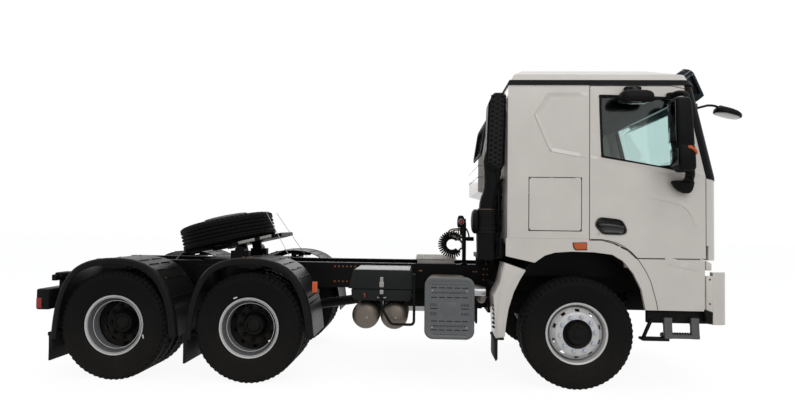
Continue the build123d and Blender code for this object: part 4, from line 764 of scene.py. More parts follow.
# sections of the hubs and of the drums behind them: Y outward from the wheel's middle, radius
FRONT_HUB = [(0.06, 0.05), (0.06, 0.185), (0.118, 0.185), (0.122, 0.139), (0.138, 0.136), (0.132, 0.122),
             (0.128, 0.108), (0.15, 0.098), (0.168, 0.094), (0.174, 0.088), (0.174, 0.07), (0.17, 0.066),
             (0.17, 0.04), (0.176, 0.036), (0.178, 0.0)]
FRONT_DRUM = [(0.05, 0.11), (0.05, 0.2), (-0.085, 0.2), (-0.085, 0.06)]
DUAL_HUB = [(-0.04, 0.05), (-0.04, 0.13), (0.008, 0.139), (0.03, 0.136), (0.036, 0.118), (0.075, 0.11),
            (0.118, 0.104), (0.13, 0.094), (0.13, 0.072), (0.14, 0.066), (0.148, 0.05), (0.15, 0.0)]
DUAL_DRUM = [(-0.04, 0.1), (-0.04, 0.2), (-0.23, 0.2), (-0.23, 0.07)]


def outboard(part, side, reach, base):
    """A part built for the right side, set out from a wheel's middle by reach."""
    return moved(moved(for_side(part, side), Matrix.Translation((0, side * reach, 0))), base)


class TRUCK_OT_wheels(bpy.types.Operator):
    """Tyres with their tread, and rims with discs, hubs and nuts"""

    bl_idname = "truck.wheels"
    bl_label = "Wheels"

    def front(self, wheels, nuts, side_name, side):
        """One tyre, its disc outboard."""
        base = place(0.0, side * FRONT_WHEEL_Y, WHEEL_Z)
        body = f"wheel_front_{side_name}"
        piece(f"tread_front_{side_name}", moved(tyre_part(wheels, 0.0, side), base), "tyre", body,
              replaces=(f"tyre_front_{side_name}",), slot="tyre_rubber")
        rim = join([rim_part(0.0, side), disc_part(side * 0.146, -side)])
        piece(f"rim_shell_front_{side_name}", moved(rim, base), "rim_silver", body,
              replaces=(f"rim_front_{side_name}",), slot="rim_paint")
        hub = join([shell_of(FRONT_HUB, side), shell_of(FRONT_DRUM, side)])
        piece(f"hub_front_{side_name}", moved(hub, base), "chassis_black", body)
        bolt = turned([(0.0, 0.001), (0.0, 0.008), (-0.006, 0.008), (-0.007, 0.001)], 6)
        bolts = ring_of(bolt, 0.079, 8)
        piece(f"hub_bolts_front_{side_name}", outboard(bolts, side, 0.174, base), "chassis_black", body)
        piece(f"nuts_front_{side_name}", outboard(nuts, side, 0.146, base), "nut_zinc", body)

    def duals(self, wheels, nuts, side_name, side, axle_name, x):
        """A pair of tyres, their discs back to back."""
        base = place(x, side * DUAL_WHEEL_Y, WHEEL_Z)
        body = f"duals_{axle_name}_{side_name}"
        pair = join([tyre_part(wheels, side * out * TWIN_OFFSET, side * out) for out in (1, -1)])
        piece(f"tread_{axle_name}_{side_name}", moved(pair, base), "tyre", body,
              replaces=(f"tyres_{axle_name}_{side_name}",), slot="tyre_rubber")
        # near-black discs: painted shade for the shadow deep in the twin wheels
        discs = join([disc_part(side * 0.006 * out, side * out) for out in (1, -1)])
        piece(f"disc_{axle_name}_{side_name}", moved(discs, base), "disc_dark", body)
        # bright silver lip over the outer flange, and two fine rings further in, in the rims' own colour;
        # the shells behind them wear a darker grey copy, painted shade
        lip = [(y + 0.0008, r - 0.0008) for y, r in rim_profile()[-2:] + rim_profile()[:2]]
        lips = [shell_of([(TWIN_OFFSET + y, r) for y, r in lip], side, 96)]
        for y, r in ((0.128, 0.2745), (0.07, 0.2385)):
            step = [(0.0, 0.0), (0.0015, 0.004), (0.0045, 0.004), (0.006, 0.0)]
            lips.append(shell_of([(TWIN_OFFSET + y - 0.006 + d, r - h) for d, h in step], side, 96))
        piece(f"rim_lip_{axle_name}_{side_name}", moved(join(lips), base), "rim_silver", body)
        # the twin rims' shells in a darker grey copy of the rims' silver: painted shade
        shells = join([rim_part(side * out * TWIN_OFFSET, -side * out) for out in (1, -1)])
        piece(f"rim_shell_{axle_name}_{side_name}", moved(shells, base), "rim_grey", body,
              replaces=(f"rims_{axle_name}_{side_name}",), slot="rim_paint")
        mark_x, mark_z, lean = CHALK[axle_name]
        chalk = moved(block((0.04, 0.003, 0.012), 0.0012, 1),
                      place(mark_x, side * 1.25, mark_z) @ Matrix.Rotation(lean, 4, "Y"))
        piece(f"chalk_{axle_name}_{side_name}", chalk, "white_mark", body)
        hub = join([shell_of(DUAL_HUB, side), shell_of(DUAL_DRUM, side)])
        piece(f"hub_{axle_name}_{side_name}", moved(hub, base), "chassis_black", body)
        bolt = turned([(0.0, 0.001), (0.0, 0.009), (-0.008, 0.009), (-0.009, 0.001)], 6)
        bolts = ring_of(bolt, 0.084, 12)
        piece(f"hub_bolts_{axle_name}_{side_name}", outboard(bolts, side, 0.13, base), "chassis_black",
              body)
        piece(f"nuts_{axle_name}_{side_name}", outboard(nuts, side, 0.018, base), "iron", body)

    def execute(self, context):
        wheels = context.scene.truck_wheels
        nuts = ring_of(nut_part(), wheels.stud_circle, wheels.studs, 0.1)
        for side_name, side in SIDES.items():
            self.front(wheels, nuts, side_name, side)
            for axle_name, x in (("mid", MID_AXLE), ("rear", REAR_AXLE)):
                self.duals(wheels, nuts, side_name, side, axle_name, x)
        return {"FINISHED"}


# ---------------------------------------------------------------- cab
# the cab leans back in a straight line above its belt: height of the belt, rise to the gutter
BELT_Z, BELT_RISE = 2.05, 0.88
# depth and width of the cab's front corner, and half of the front between the corners
CORNER_X, CORNER_Y, FRONT_HALF = 0.1, 0.13, 1.105


def above_belt(z):
    """How far z lies up the leaning part of the cab, as a share."""
    return np.clip((z - BELT_Z) / BELT_RISE, 0.0, 1.2)


def corner_station(z):
    """Station where the cab's front corner begins at height z."""
    return 1.195 - 0.21 * above_belt(z)


def cab_corner(z, t, side, lift):
    """Point of the cab's skin at height z, moved outward by lift.

    t runs from the door's edge (0) round the corner (1) and on along the front. The corner is an arc of
    an ellipse between the side wall and the front.
    """
    corner = corner_station(z)
    nose = 1.39 - 0.26 * above_belt(z)
    a = np.clip(t, 0, 1) * math.pi / 2
    x = corner + (CORNER_X + lift) * np.sin(a)
    y = CAB_SIDE - CORNER_Y + (CORNER_Y + lift) * np.cos(a)
    back = np.clip(-t, 0, None)
    ahead = np.clip(t - 1, 0, None)
    y_front = FRONT_HALF * (1 - ahead)
    bow = (nose - corner - CORNER_X) * (1 - (y_front / FRONT_HALF) ** 2)
    x = np.where(ahead > 0, corner + CORNER_X + lift + bow, x - back)
    y = np.where(ahead > 0, y_front, y)
    return FRONT_AXLE + x, side * y, z


def closed_skin(outer, inner):
    """Two sheets of one grid joined round their rims; each is (points, rows, columns)."""
    xyz, rows, cols = outer
    faces = grid_faces(rows, cols)
    count = rows * cols
    faces += [[k + count for k in f[::-1]] for f in grid_faces(rows, cols)]
    rim = ([(0, j) for j in range(cols)] + [(i, cols - 1) for i in range(1, rows)]
           + [(rows - 1, j) for j in range(cols - 2, -1, -1)] + [(i, 0) for i in range(rows - 2, 0, -1)])
    ring = [i * cols + j for i, j in rim]
    for a, b in zip(ring, ring[1:] + ring[:1]):
        faces.append([a, a + count, b + count, b])
    return np.concatenate([xyz, inner[0]]), faces


# how far the pillar's cover runs along the front, as a share of the half width
PILLAR_INNER = 1.085


def pillar_part(side):
    """Black cover of the windscreen pillar: the corner's skin between the door's edge and the glass."""
    skin = skin_tree("cab_shell")
    z = np.linspace(2.035, 2.935, 37)
    t = np.r_[np.linspace(-0.5, 1.0, 19), np.linspace(1.0, PILLAR_INNER, 5)[1:]]
    sheets = []
    for lift in (0.004, -0.004):
        zz, tt = np.meshgrid(z, t, indexing="ij")
        # the cover's rear edge follows the door's leaning front edge, its foot runs down and forward
        door = np.interp(zz, [2.03, 2.062, 2.49, 2.8, 2.89, 2.93],
                         [1.186, 1.183, 1.084, 1.026, 0.99, 0.985])
        back = np.maximum(corner_station(zz) - door, 0.0)
        foot = 0.03 * np.clip(tt, -1, 1) * np.clip((2.1 - zz) / 0.07, 0, 1)
        x, y, zf = cab_corner(zz - foot, np.where(tt < 0, tt * 2 * back, tt), side, lift)
        # round the corner the cover follows the shell's real surface
        for i, j in np.argwhere(tt > 0.1):
            turn = min(tt[i, j], 1.0) * math.pi / 2
            out = Vector((math.sin(turn), side * math.cos(turn), 0.0))
            hit = skin.ray_cast(Vector((x[i, j], y[i, j], zf[i, j])) + 0.12 * out, -out, 0.16)[0]
            if hit is not None:
                x[i, j], y[i, j] = (hit + lift * out)[:2]
        sheets.append(np.stack([x, y, zf], axis=-1).reshape(-1, 3))
    return closed_skin((sheets[0], len(z), len(t)), (sheets[1], len(z), len(t)))


def ribbon(path, wide, high, across, sides=1):
    """Strip along a path with a low triangular section: a pressed fold in a panel.

    The section lies in the plane of across and the Y axis, its ridge high outward.
    """
    p = np.asarray(path, float)
    n = len(p)
    ahead = np.gradient(p, axis=0)
    ahead /= np.linalg.norm(ahead, axis=1)[:, None]
    out = np.array([0, sides, 0.0])
    flat = np.cross(ahead, out)
    taper = np.sin(np.linspace(0.0, math.pi, n)) ** 0.3
    taper[0] = taper[-1] = 0.02
    rows = []
    for offset, lift in ((-0.5, -0.1), (across, 1.0), (0.5, -0.1)):
        rows.append(p + flat * (offset * wide) + out * (lift * high * taper)[:, None])
    xyz = np.stack(rows, axis=1).reshape(-1, 3)
    return xyz, grid_faces(n, 3, False, True) + [[0, 1, 2], [3 * n - 1, 3 * n - 2, 3 * n - 3]]


# side views as (station, Z) points: the window, the pressed folds and the seam round the wheel arch
WINDOW = [(0.196, 2.826), (0.218, 2.24), (0.946, 2.108), (1.03, 2.112), (1.0, 2.48), (0.93, 2.8)]
DOOR_FOLD = [(0.108, 2.224), (0.4, 2.178), (0.8, 2.112), (1.1, 2.064), (1.178, 2.05)]
SOFT_FOLD = [(0.62, 1.868), (0.755, 1.853), (0.901, 1.82), (0.985, 1.785), (1.047, 1.725), (1.085, 1.64),
             (1.1, 1.56)]
QUARTER_FOLD = [(0.088, 2.236), (-0.09, 2.27), (-0.245, 2.3), (-0.27, 2.318), (-0.34, 2.48), (-0.4, 2.622),
                (-0.402, 2.652), (-0.345, 2.738), (-0.29, 2.82), (-0.268, 2.834), (-0.1, 2.836),
                (0.082, 2.837)]
ARCH_SEAM = [(0.121, 1.446), (0.256, 1.44), (0.352, 1.418), (0.43, 1.376), (0.507, 1.316), (0.57, 1.236),
             (0.623, 1.153), (0.668, 1.06), (0.691, 0.981), (0.718, 0.88), (0.736, 0.787)]


class TRUCK_OT_cab(bpy.types.Operator):
    """Pillar covers, window rubbers, pressed folds, seams, marker lamps and door locks"""

    bl_idname = "truck.cab"
    bl_label = "Cab skin"

    def execute(self, context):
        for side_name, side in SIDES.items():
            y = side * CAB_SIDE
            door = f"door_{side_name}"
            piece(f"pillar_cover_{side_name}", pillar_part(side), "black_plastic", "cab")
            frame_path = smooth_path(on_side(WINDOW, side * 1.2335), 1, closed=True)
            # each corner as three points, for a rounded bend
            corners = []
            for a, b, c in zip(np.roll(frame_path, 1, 0), frame_path, np.roll(frame_path, -1, 0)):
                u, v = a - b, c - b
                u, v = u / np.linalg.norm(u) * 0.045, v / np.linalg.norm(v) * 0.045
                corners += [b + u, b + u * 0.3 + v * 0.3, b + v]
            piece(f"window_rubber_{side_name}",
                  tube(smooth_path(corners, 4, closed=True), 0.0125, 8, closed=True), "rubber", door)
            wedge = [(0.64, 2.15), (0.8, 2.158), (0.93, 2.172), (1.022, 2.115), (0.946, 2.098),
                     (0.66, 2.147)]
            piece(f"window_wedge_{side_name}", prism(wedge, y - side * 0.03, y + side * 0.004, 0.002),
                  "black_plastic", door)
            # pressed folds: name, points, steps between them, width, height, place of the ridge, body
            for name, points, steps, wide, high, ridge, body in (
                    ("door_fold", DOOR_FOLD, 6, 0.052, 0.0095, -0.36, door),
                    ("door_soft_fold", SOFT_FOLD, 6, 0.06, 0.007, 0.34, door),
                    ("quarter_fold", QUARTER_FOLD, 4, 0.045, 0.009, -0.36, "cab")):
                fold = ribbon(smooth_path(on_side(points, y), steps), wide, high, ridge, side)
                piece(f"{name}_{side_name}", fold, "cab_paint", body)
            seam = tube(smooth_path(on_side(ARCH_SEAM, y + side * 0.0002), 4), 0.0028, 6)
            piece(f"arch_seam_{side_name}", seam, "dark", "cab")
            run = np.linspace(*on_side([(0.8, 1.253), (1.158, 1.182)], y), 12)
            fold = ribbon(run, 0.075, 0.006, 0.35, side)
            piece(f"step_fold_{side_name}", fold, "cab_paint", "cab")
            # marker lamp: amber lens with a moulded black bed
            lens = [(-0.056, 1.408), (0.068, 1.412), (0.07, 1.35), (-0.03, 1.348), (-0.046, 1.366)]
            bed = [(-0.062, 1.414), (0.074, 1.418), (0.076, 1.343), (-0.034, 1.341), (-0.053, 1.362)]
            piece(f"marker_bed_{side_name}", prism(bed, y - side * 0.002, y + side * 0.004, 0.0015),
                  "black_plastic", "cab")
            piece(f"marker_lens_{side_name}", prism(lens, y, y + side * 0.013, 0.004), "lens_amber", "cab")
            rows = []
            for k in range(2):
                head = for_side(turned([(0, 0.001), (0, 0.006), (-0.004, 0.005), (-0.004, 0.001)], 12),
                                side)
                rows.append(moved(head, place(-0.664, y, 1.487 + 0.036 * k)))
            piece(f"rear_bolts_{side_name}", join(rows), "steel", "cab")
            lock = turned([(0.0, 0.001), (0.0, 0.013), (-0.003, 0.012), (-0.003, 0.005), (-0.001, 0.004),
                           (-0.001, 0.001)], 24)
            piece(f"door_lock_{side_name}", moved(for_side(lock, side), place(0.185, y, 1.5)), "steel",
                  door)
        return {"FINISHED"}


def shell_section(z_rows, centre, half_x, half_y, power=3.0, around=40):
    """Closed upright form whose level sections are superellipses about one middle (X, Y).

    Each row of z_rows is (Z, middle X offset, middle Y offset, share of the half sizes).
    """
    rows = [(z, centre[0] + dx, centre[1] + dy, half_x * share, half_y * share)
            for z, dx, dy, share in z_rows]
    return superellipses(rows, power, around)


class TRUCK_OT_mirrors(bpy.types.Operator):
    """Mirrors on the doors and at the front, door handles"""

    bl_idname = "truck.mirrors"
    bl_label = "Mirrors and handles"

    def main_mirror(self, side_name, side):
        """Tall housing with two glasses, its repeater, arms and foot."""
        door = f"door_{side_name}"
        middle = (FRONT_AXLE + 0.855, side * 1.462)
        # columns: Z, X offset, Y offset, share
        rows = [(2.078, 0.035, -0.01, 0.62), (2.09, 0.034, -0.004, 0.86), (2.115, 0.032, 0.0, 0.97),
                (2.2, 0.026, 0.0, 1.0), (2.3, 0.018, 0.0, 1.0), (2.312, 0.016, 0.0, 0.955),
                (2.324, 0.015, 0.0, 1.0), (2.45, 0.008, 0.0, 1.0), (2.6, 0.0, 0.0, 0.99),
                (2.7, -0.006, 0.0, 0.96), (2.735, -0.008, 0.0, 0.88), (2.752, -0.009, 0.0, 0.68),
                (2.758, -0.01, 0.0, 0.4)]
        rows = [(z, dx, side * dy, share) for z, dx, dy, share in rows]
        housing = shell_section(rows, middle, 0.079, 0.102, 4.5, 48)
        piece(f"mirror_housing_{side_name}", housing, "black_plastic", door,
              replaces=(f"door_fittings_{side_name}",), slot="black_plastic")
        glass = []
        for lo, hi in (((-0.0535, 2.345), (-0.0615, 2.715)), ((-0.034, 2.13), (-0.042, 2.285))):
            x = FRONT_AXLE + 0.832 + 0.5 * (lo[0] + hi[0])
            spot = Matrix.Translation((x, middle[1], (lo[1] + hi[1]) / 2)) @ Matrix.Rotation(-0.023, 4, "Y")
            glass.append(moved(block((0.006, 0.165, hi[1] - lo[1]), 0.0028), spot))
        piece(f"mirror_glass_{side_name}", join(glass), "mirror_dark", door)
        # amber repeater wrapped round the housing's outer edge
        path = route([(0.884, 1.552, 2.294), (0.9, 1.565, 2.288), (0.924, 1.568, 2.272),
                      (0.946, 1.56, 2.25), (0.957, 1.538, 2.234)], 5, side)
        repeater = tube(path, np.linspace(0.017, 0.011, len(path)), 10)
        piece(f"mirror_repeater_{side_name}", repeater, "lens_amber", door)
        arm = route([(0.955, 1.455, 2.1), (0.968, 1.43, 2.06), (0.985, 1.37, 2.03),
                     (0.98, 1.29, 2.005), (0.975, 1.245, 1.985)], 6, side)
        lower = tube(arm, np.linspace(0.024, 0.032, len(arm)), 14)
        web = prism([(0.925, 2.0), (0.955, 2.045), (0.962, 2.105), (1.008, 2.105), (1.0, 2.0)],
                    side * 1.3, side * 1.405, 0.008)
        foot_rows = [(1.892, 0.03, 0.0, 0.22), (1.9, 0.026, 0.0, 0.42), (1.918, 0.016, 0.0, 0.66),
                     (1.95, 0.006, 0.0, 0.86), (1.985, -0.002, 0.0, 1.0), (2.004, -0.004, 0.0, 0.99),
                     (2.01, -0.004, 0.0, 0.93)]
        foot = shell_section(foot_rows, (FRONT_AXLE + 0.95, side * 1.283), 0.099, 0.058, 3.6, 44)
        top = route([(0.85, 1.262, 2.815), (0.88, 1.33, 2.825), (0.905, 1.39, 2.815),
                     (0.915, 1.44, 2.785), (0.9, 1.455, 2.735)], 6, side)
        upper = tube(top, np.linspace(0.03, 0.022, len(top)), 14)
        pad = shell_section([(2.785, 0, 0, 0.8), (2.792, 0, 0, 1.0), (2.842, 0, 0, 1.0),
                             (2.849, 0, 0, 0.8)], (FRONT_AXLE + 0.858, side * 1.258), 0.046, 0.026, 4.0, 28)
        piece(f"mirror_arms_{side_name}", join([lower, web, foot, upper, pad]), "black_plastic", door)

    def kerb_mirror(self, side_name, side):
        """Low housing over the window, its neck, hinge and glass."""
        door = f"door_{side_name}"
        kerb = shell_section([(2.728, 0.006, 0.0, 0.78), (2.733, 0.004, 0.0, 0.92),
                              (2.745, 0.002, 0.0, 0.98), (2.768, 0.0, 0.0, 1.0), (2.8, -0.002, 0.0, 0.96),
                              (2.82, -0.004, 0.0, 0.86), (2.832, -0.006, 0.0, 0.66),
                              (2.837, -0.006, 0.0, 0.4)], (FRONT_AXLE + 0.475, side * 1.395), 0.153, 0.094,
                             5.0, 48)
        neck = tube(route([(0.49, 1.245, 2.872), (0.49, 1.3, 2.868), (0.485, 1.36, 2.84),
                           (0.48, 1.385, 2.8)], 6, side), 0.028, 14)
        hinge = shell_section([(2.835, 0, 0, 0.85), (2.842, 0, 0, 1.0), (2.898, 0, 0, 1.0),
                               (2.905, 0, 0, 0.85)], (FRONT_AXLE + 0.493, side * 1.262), 0.08, 0.027, 4.0,
                              32)
        piece(f"kerb_mirror_{side_name}", join([kerb, neck, hinge]), "black_plastic", door)
        lens = shell_section([(2.718, 0, 0, 0.3), (2.72, 0, 0, 0.47), (2.726, 0, 0, 0.53)],
                             (FRONT_AXLE + 0.48, side * 1.395), 0.186, 0.1, 3.0, 40)
        piece(f"kerb_mirror_glass_{side_name}", lens, "mirror_dark", door)

    def handle(self, side_name, side):
        """Dished bed with a pull bar over it."""
        outline = np.array([(0.15, 1.585), (0.163, 1.628), (0.198, 1.657), (0.29, 1.652), (0.385, 1.637),
                            (0.425, 1.6), (0.448, 1.545), (0.44, 1.508), (0.4, 1.494), (0.29, 1.494),
                            (0.222, 1.5), (0.178, 1.54)])
        centre = outline.mean(0)
        loops = smooth_path(np.c_[outline, np.zeros(len(outline))], 4, closed=True)[:, :2]
        n = len(loops)
        rings = []
        # columns: share of the outline, height over the door's skin
        for share, depth in ((1.0, 0.001), (0.985, 0.01), (0.95, 0.013), (0.9, 0.009), (0.86, -0.014),
                             (0.7, -0.024), (0.35, -0.027), (0.15, -0.027)):
            ring = centre + (loops - centre) * share
            y = np.full(n, side * (CAB_SIDE + depth))
            rings.append(np.stack([FRONT_AXLE + ring[:, 0], y, ring[:, 1]], axis=-1))
        faces = grid_faces(len(rings), n, False, True) + end_faces(len(rings), n, True)[1:]
        pull = [(0.19, 0.002, 1.59), (0.225, 0.018, 1.588), (0.3, 0.024, 1.583), (0.375, 0.018, 1.574),
                (0.415, 0.002, 1.566)]
        bar = tube(route([(x, CAB_SIDE + y, z) for x, y, z in pull], 6, side), 0.0145, 12)
        piece(f"door_handle_{side_name}", join([(np.concatenate(rings), faces), bar]), "gloss_black",
              f"door_{side_name}")

    def front_mirror(self):
        """Curved arm and rounded head with its glass below."""
        arm = route([(1.12, -1.13, 2.735), (1.16, -1.11, 2.735), (1.235, -1.06, 2.758),
                     (1.318, -1.01, 2.782), (1.39, -1.0, 2.778), (1.44, -1.0, 2.752)], 8)
        head_turn = Matrix.Translation(at(1.512, -1.0, 2.716)) @ Matrix.Rotation(0.26, 4, "Y")
        # columns: Z, X offset, Y offset, share
        head = shell_section([(-0.034, 0.0, 0, 0.92), (-0.028, 0.0, 0, 0.985), (-0.014, 0.0, 0, 1.0),
                              (0.004, -0.004, 0, 0.96), (0.02, -0.012, 0, 0.82), (0.032, -0.024, 0, 0.6),
                              (0.04, -0.036, 0, 0.34)], (0, 0), 0.128, 0.1, 2.7, 48)
        neck = shell_section([(0.018, 0, 0, 1.0), (0.034, 0, 0, 0.95), (0.046, 0, 0, 0.6)],
                             (-0.075, 0), 0.034, 0.026, 3.0, 24)
        foot = moved(block((0.05, 0.07, 0.09), 0.012), place(1.128, -1.118, 2.735, (-0.9, "Z")))
        whole = join([tube(arm, 0.0115, 12), moved(head, head_turn), moved(neck, head_turn), foot])
        piece("front_mirror_body", whole, "black_plastic", "cab", replaces=("front_mirror",),
              slot="black_plastic")
        lens = shell_section([(-0.04, 0, 0, 0.1), (-0.0395, 0, 0, 0.5), (-0.037, 0, 0, 0.82),
                              (-0.032, 0, 0, 0.9)], (0, 0), 0.128, 0.1, 2.7, 40)
        piece("front_mirror_glass", moved(lens, head_turn), "mirror_front", "cab")

    def execute(self, context):
        for side_name, side in SIDES.items():
            self.main_mirror(side_name, side)
            self.kerb_mirror(side_name, side)
            self.handle(side_name, side)
        self.front_mirror()
        return {"FINISHED"}


def visor_part():
    """Smoked visor: a bent profile carried across the cab, bowed ahead in the middle."""
    profile = smooth_path([(1.082, 0.0, 3.146), (1.13, 0.0, 3.142), (1.172, 0.0, 3.122),
                           (1.196, 0.0, 3.085), (1.24, 0.0, 2.985), (1.28, 0.0, 2.892), (1.276, 0.0, 2.872),
                           (1.214, 0.0, 2.822)], 6)
    across = np.linspace(-1.0, 1.0, 41)
    sheets = []
    for thick in (0.0, -0.007):
        run = np.gradient(profile, axis=0)
        run /= np.linalg.norm(run, axis=1)[:, None]
        normal = np.stack([-run[:, 2], np.zeros(len(run)), run[:, 0]], axis=-1) * -1
        base = profile + normal * thick * -1
        bow = 0.03 * (1 - across**2) - 0.006
        x = FRONT_AXLE + base[:, None, 0] + bow[None, :]
        y = np.broadcast_to(1.01 * across[None, :], x.shape)
        z = np.broadcast_to(base[:, None, 2], x.shape)
        sheets.append(np.stack([x, y, z], axis=-1).reshape(-1, 3))
    return closed_skin((sheets[0], len(profile), len(across)), (sheets[1], len(profile), len(across)))


class TRUCK_OT_front_top(bpy.types.Operator):
    """Sun visor and its stays"""

    bl_idname = "truck.front_top"
    bl_label = "Visor"

    def execute(self, context):
        piece("visor", visor_part(), "visor_smoke", "cab", replaces=("sun_visor",), slot="visor_plastic")
        stays = []
        for y in (-0.955, -0.32, 0.32, 0.955):
            stays.append(prism([(1.105, 3.02), (1.18, 3.098), (1.206, 3.05), (1.262, 2.925), (1.252, 2.905),
                                (1.148, 2.945), (1.112, 2.975)], y - 0.012, y + 0.012, 0.004))
        piece("visor_stays", join(stays), "black_plastic", "cab")
        return {"FINISHED"}


# ---------------------------------------------------------------- behind the cab
def column(rows, power=3.0, around=40):
    """Closed upright form through level superellipse sections; rows are (Z, station, Y, half X, half Y)."""
    return superellipses([(z, FRONT_AXLE + x, y, hx, hy) for z, x, y, hx, hy in rows], power, around)


def pocket_tile(wide, high, radius, depth, around=16):
    """Flat tile on the XZ plane facing -Y with one round blind hole."""
    a = circle(around, 0.5)
    reach = np.minimum(wide / 2 / np.maximum(np.abs(np.cos(a)), 1e-9),
                       high / 2 / np.maximum(np.abs(np.sin(a)), 1e-9))
    corners = np.round(a / (math.pi / 2) - 0.5) * math.pi / 2 + math.pi / 4
    near = np.abs(a - corners) < math.pi / around * 1.01
    x, z = reach * np.cos(a), reach * np.sin(a)
    x, z = np.where(near, np.sign(x) * wide / 2, x), np.where(near, np.sign(z) * high / 2, z)
    rings = [np.c_[x, np.zeros(around), z]]
    for r, y in ((radius * 1.14, 0.0), (radius * 1.02, 0.0012), (radius, 0.003), (radius * 0.97, depth)):
        rings.append(np.c_[r * np.cos(a), np.full(around, y), r * np.sin(a)])
    faces = grid_faces(len(rings), around, False, True) + end_faces(len(rings), around, True)[1:]
    return np.concatenate(rings), faces


def bulge_x(z):
    """Station of the rear bulge's slanted face at a height."""
    return -0.79 - 0.06 * (2.74 - z) / 0.4


class TRUCK_OT_intake(bpy.types.Operator):
    """Air intake with its pierced face, duct and bellows, and the rear window's frame"""

    bl_idname = "truck.intake"
    bl_label = "Intake"

    def execute(self, context):
        face_y, lean = -1.158, 0.04
        outline = [(-0.8, 2.866), (-0.706, 2.866), (-0.692, 2.842), (-0.703, 2.17), (-0.731, 2.116),
                   (-0.83, 2.112), (-0.876, 2.199), (-0.866, 2.501), (-0.857, 2.76), (-0.824, 2.842)]
        body = prism(outline, face_y, -0.962, 0.014)
        step = prism([(x + (0.018 if x < -0.78 else 0.0) - 0.02, z) for x, z in outline], -0.99, -0.95,
                     0.012)
        border = tube(on_side(outline, face_y - 0.001), 0.0045, 8, closed=True)
        piece("intake_box", join([body, step, border]), "black_plastic", "cab", replaces=("intake_upper",),
              slot="black_plastic")
        # pierced face: three columns, the middle one half a pitch lower
        pitch, across = 0.0475, 0.044
        tile = pocket_tile(across, pitch, 0.0148, 0.018)
        places = []
        for k, (count, drop) in enumerate(((14, 0.0), (14, 0.5), (15, 0.0))):
            for i in range(count):
                z = 2.824 - (i + drop) * pitch
                places.append(place(-0.817 + k * across + lean * (z - 2.75), face_y - 0.0075, z))
        piece("intake_grille", copies(tile, places), "pierced_black", "cab")
        # duct from the box to the bellows: columns as in column()
        duct = column([(2.3, -0.82, -1.05, 0.06, 0.07), (2.2, -0.8185, -1.05, 0.083, 0.082),
                       (2.09, -0.8125, -1.05, 0.0775, 0.08), (2.01, -0.813, -1.05, 0.0755, 0.08),
                       (1.94, -0.8175, -1.05, 0.0745, 0.08), (1.885, -0.829, -1.048, 0.0745, 0.08),
                       (1.84, -0.845, -1.046, 0.075, 0.08), (1.79, -0.853, -1.042, 0.0765, 0.08),
                       (1.725, -0.857, -1.04, 0.0775, 0.08)], 3.0, 40)
        water_trap = column([(2.118, -0.755, -1.12, 0.03, 0.026), (2.06, -0.757, -1.12, 0.028, 0.026),
                             (2.05, -0.757, -1.12, 0.022, 0.02), (2.02, -0.757, -1.12, 0.02, 0.018),
                             (1.985, -0.757, -1.12, 0.008, 0.008)], 2.0, 20)
        piece("intake_duct", join([duct, water_trap]), "black_plastic", "cab")
        # bellows: bands with ribs between them
        rows = [(1.736, 0.08), (1.733, 0.083), (1.722, 0.084), (1.719, 0.0885), (1.7, 0.0885),
                (1.697, 0.084)]
        for k in range(7):
            z = 1.69 - k * 0.0195
            rows += [(z, 0.0845), (z - 0.004, 0.0895), (z - 0.01, 0.0895), (z - 0.014, 0.0845)]
        rows += [(1.55, 0.086), (1.547, 0.0925), (1.528, 0.0925), (1.524, 0.087), (1.516, 0.087),
                 (1.512, 0.0925), (1.494, 0.0925), (1.49, 0.088), (1.486, 0.085)]
        bellows = column([(z, -0.8675 if z < 1.7 else -0.864, -1.04, h, h * 0.95) for z, h in rows], 3.0,
                         48)
        piece("intake_bellows", bellows, "rubber", "chassis", replaces=("intake_lower",),
              slot="black_plastic")
        clamp = column([(1.7305, -0.864, -1.04, 0.0848, 0.0808), (1.729, -0.864, -1.04, 0.0856, 0.0816),
                        (1.7245, -0.864, -1.04, 0.0856, 0.0816), (1.723, -0.864, -1.04, 0.0848, 0.0808)],
                       3.0, 48)
        piece("intake_clamp", clamp, "pipe_brown", "chassis")
        lower = column([(1.488, -0.868, -1.04, 0.084, 0.082), (1.484, -0.868, -1.04, 0.089, 0.085),
                        (1.4, -0.865, -1.04, 0.09, 0.085), (1.3, -0.862, -1.04, 0.0905, 0.085),
                        (1.236, -0.86, -1.04, 0.0905, 0.085), (1.23, -0.86, -1.04, 0.084, 0.08)], 4.2, 48)
        arm = box((-0.932, -1.06, 1.23), (-0.782, -0.42, 1.28), 0.01)
        foot = box((-0.907, -0.47, 1.138), (-0.807, -0.41, 1.235), 0.006)
        profile = [(0.0, 0.001), (0.0, 0.06), (0.006, 0.095), (0.018, 0.114), (0.034, 0.122), (0.05, 0.122),
                   (0.058, 0.11)]
        disc = moved(turned(profile, 48), place(-1.009, -1.04, 1.607, (-math.pi / 2, "Z")))
        piece("intake_duct_lower", join([lower, arm, foot, disc]), "black_plastic", "chassis")
        canister = column([(1.44, -0.706, -0.95, 0.03, 0.03), (1.436, -0.706, -0.95, 0.041, 0.041),
                           (1.404, -0.706, -0.95, 0.043, 0.043), (1.4, -0.706, -0.95, 0.041, 0.041),
                           (1.262, -0.706, -0.95, 0.041, 0.041), (1.25, -0.706, -0.95, 0.03, 0.03)], 2.0,
                          32)
        holder = box((-0.8, -0.975, 1.238), (-0.69, -0.925, 1.254), 0.003)
        piece("filter_canister", join([canister, holder]), "box_grey", "chassis")
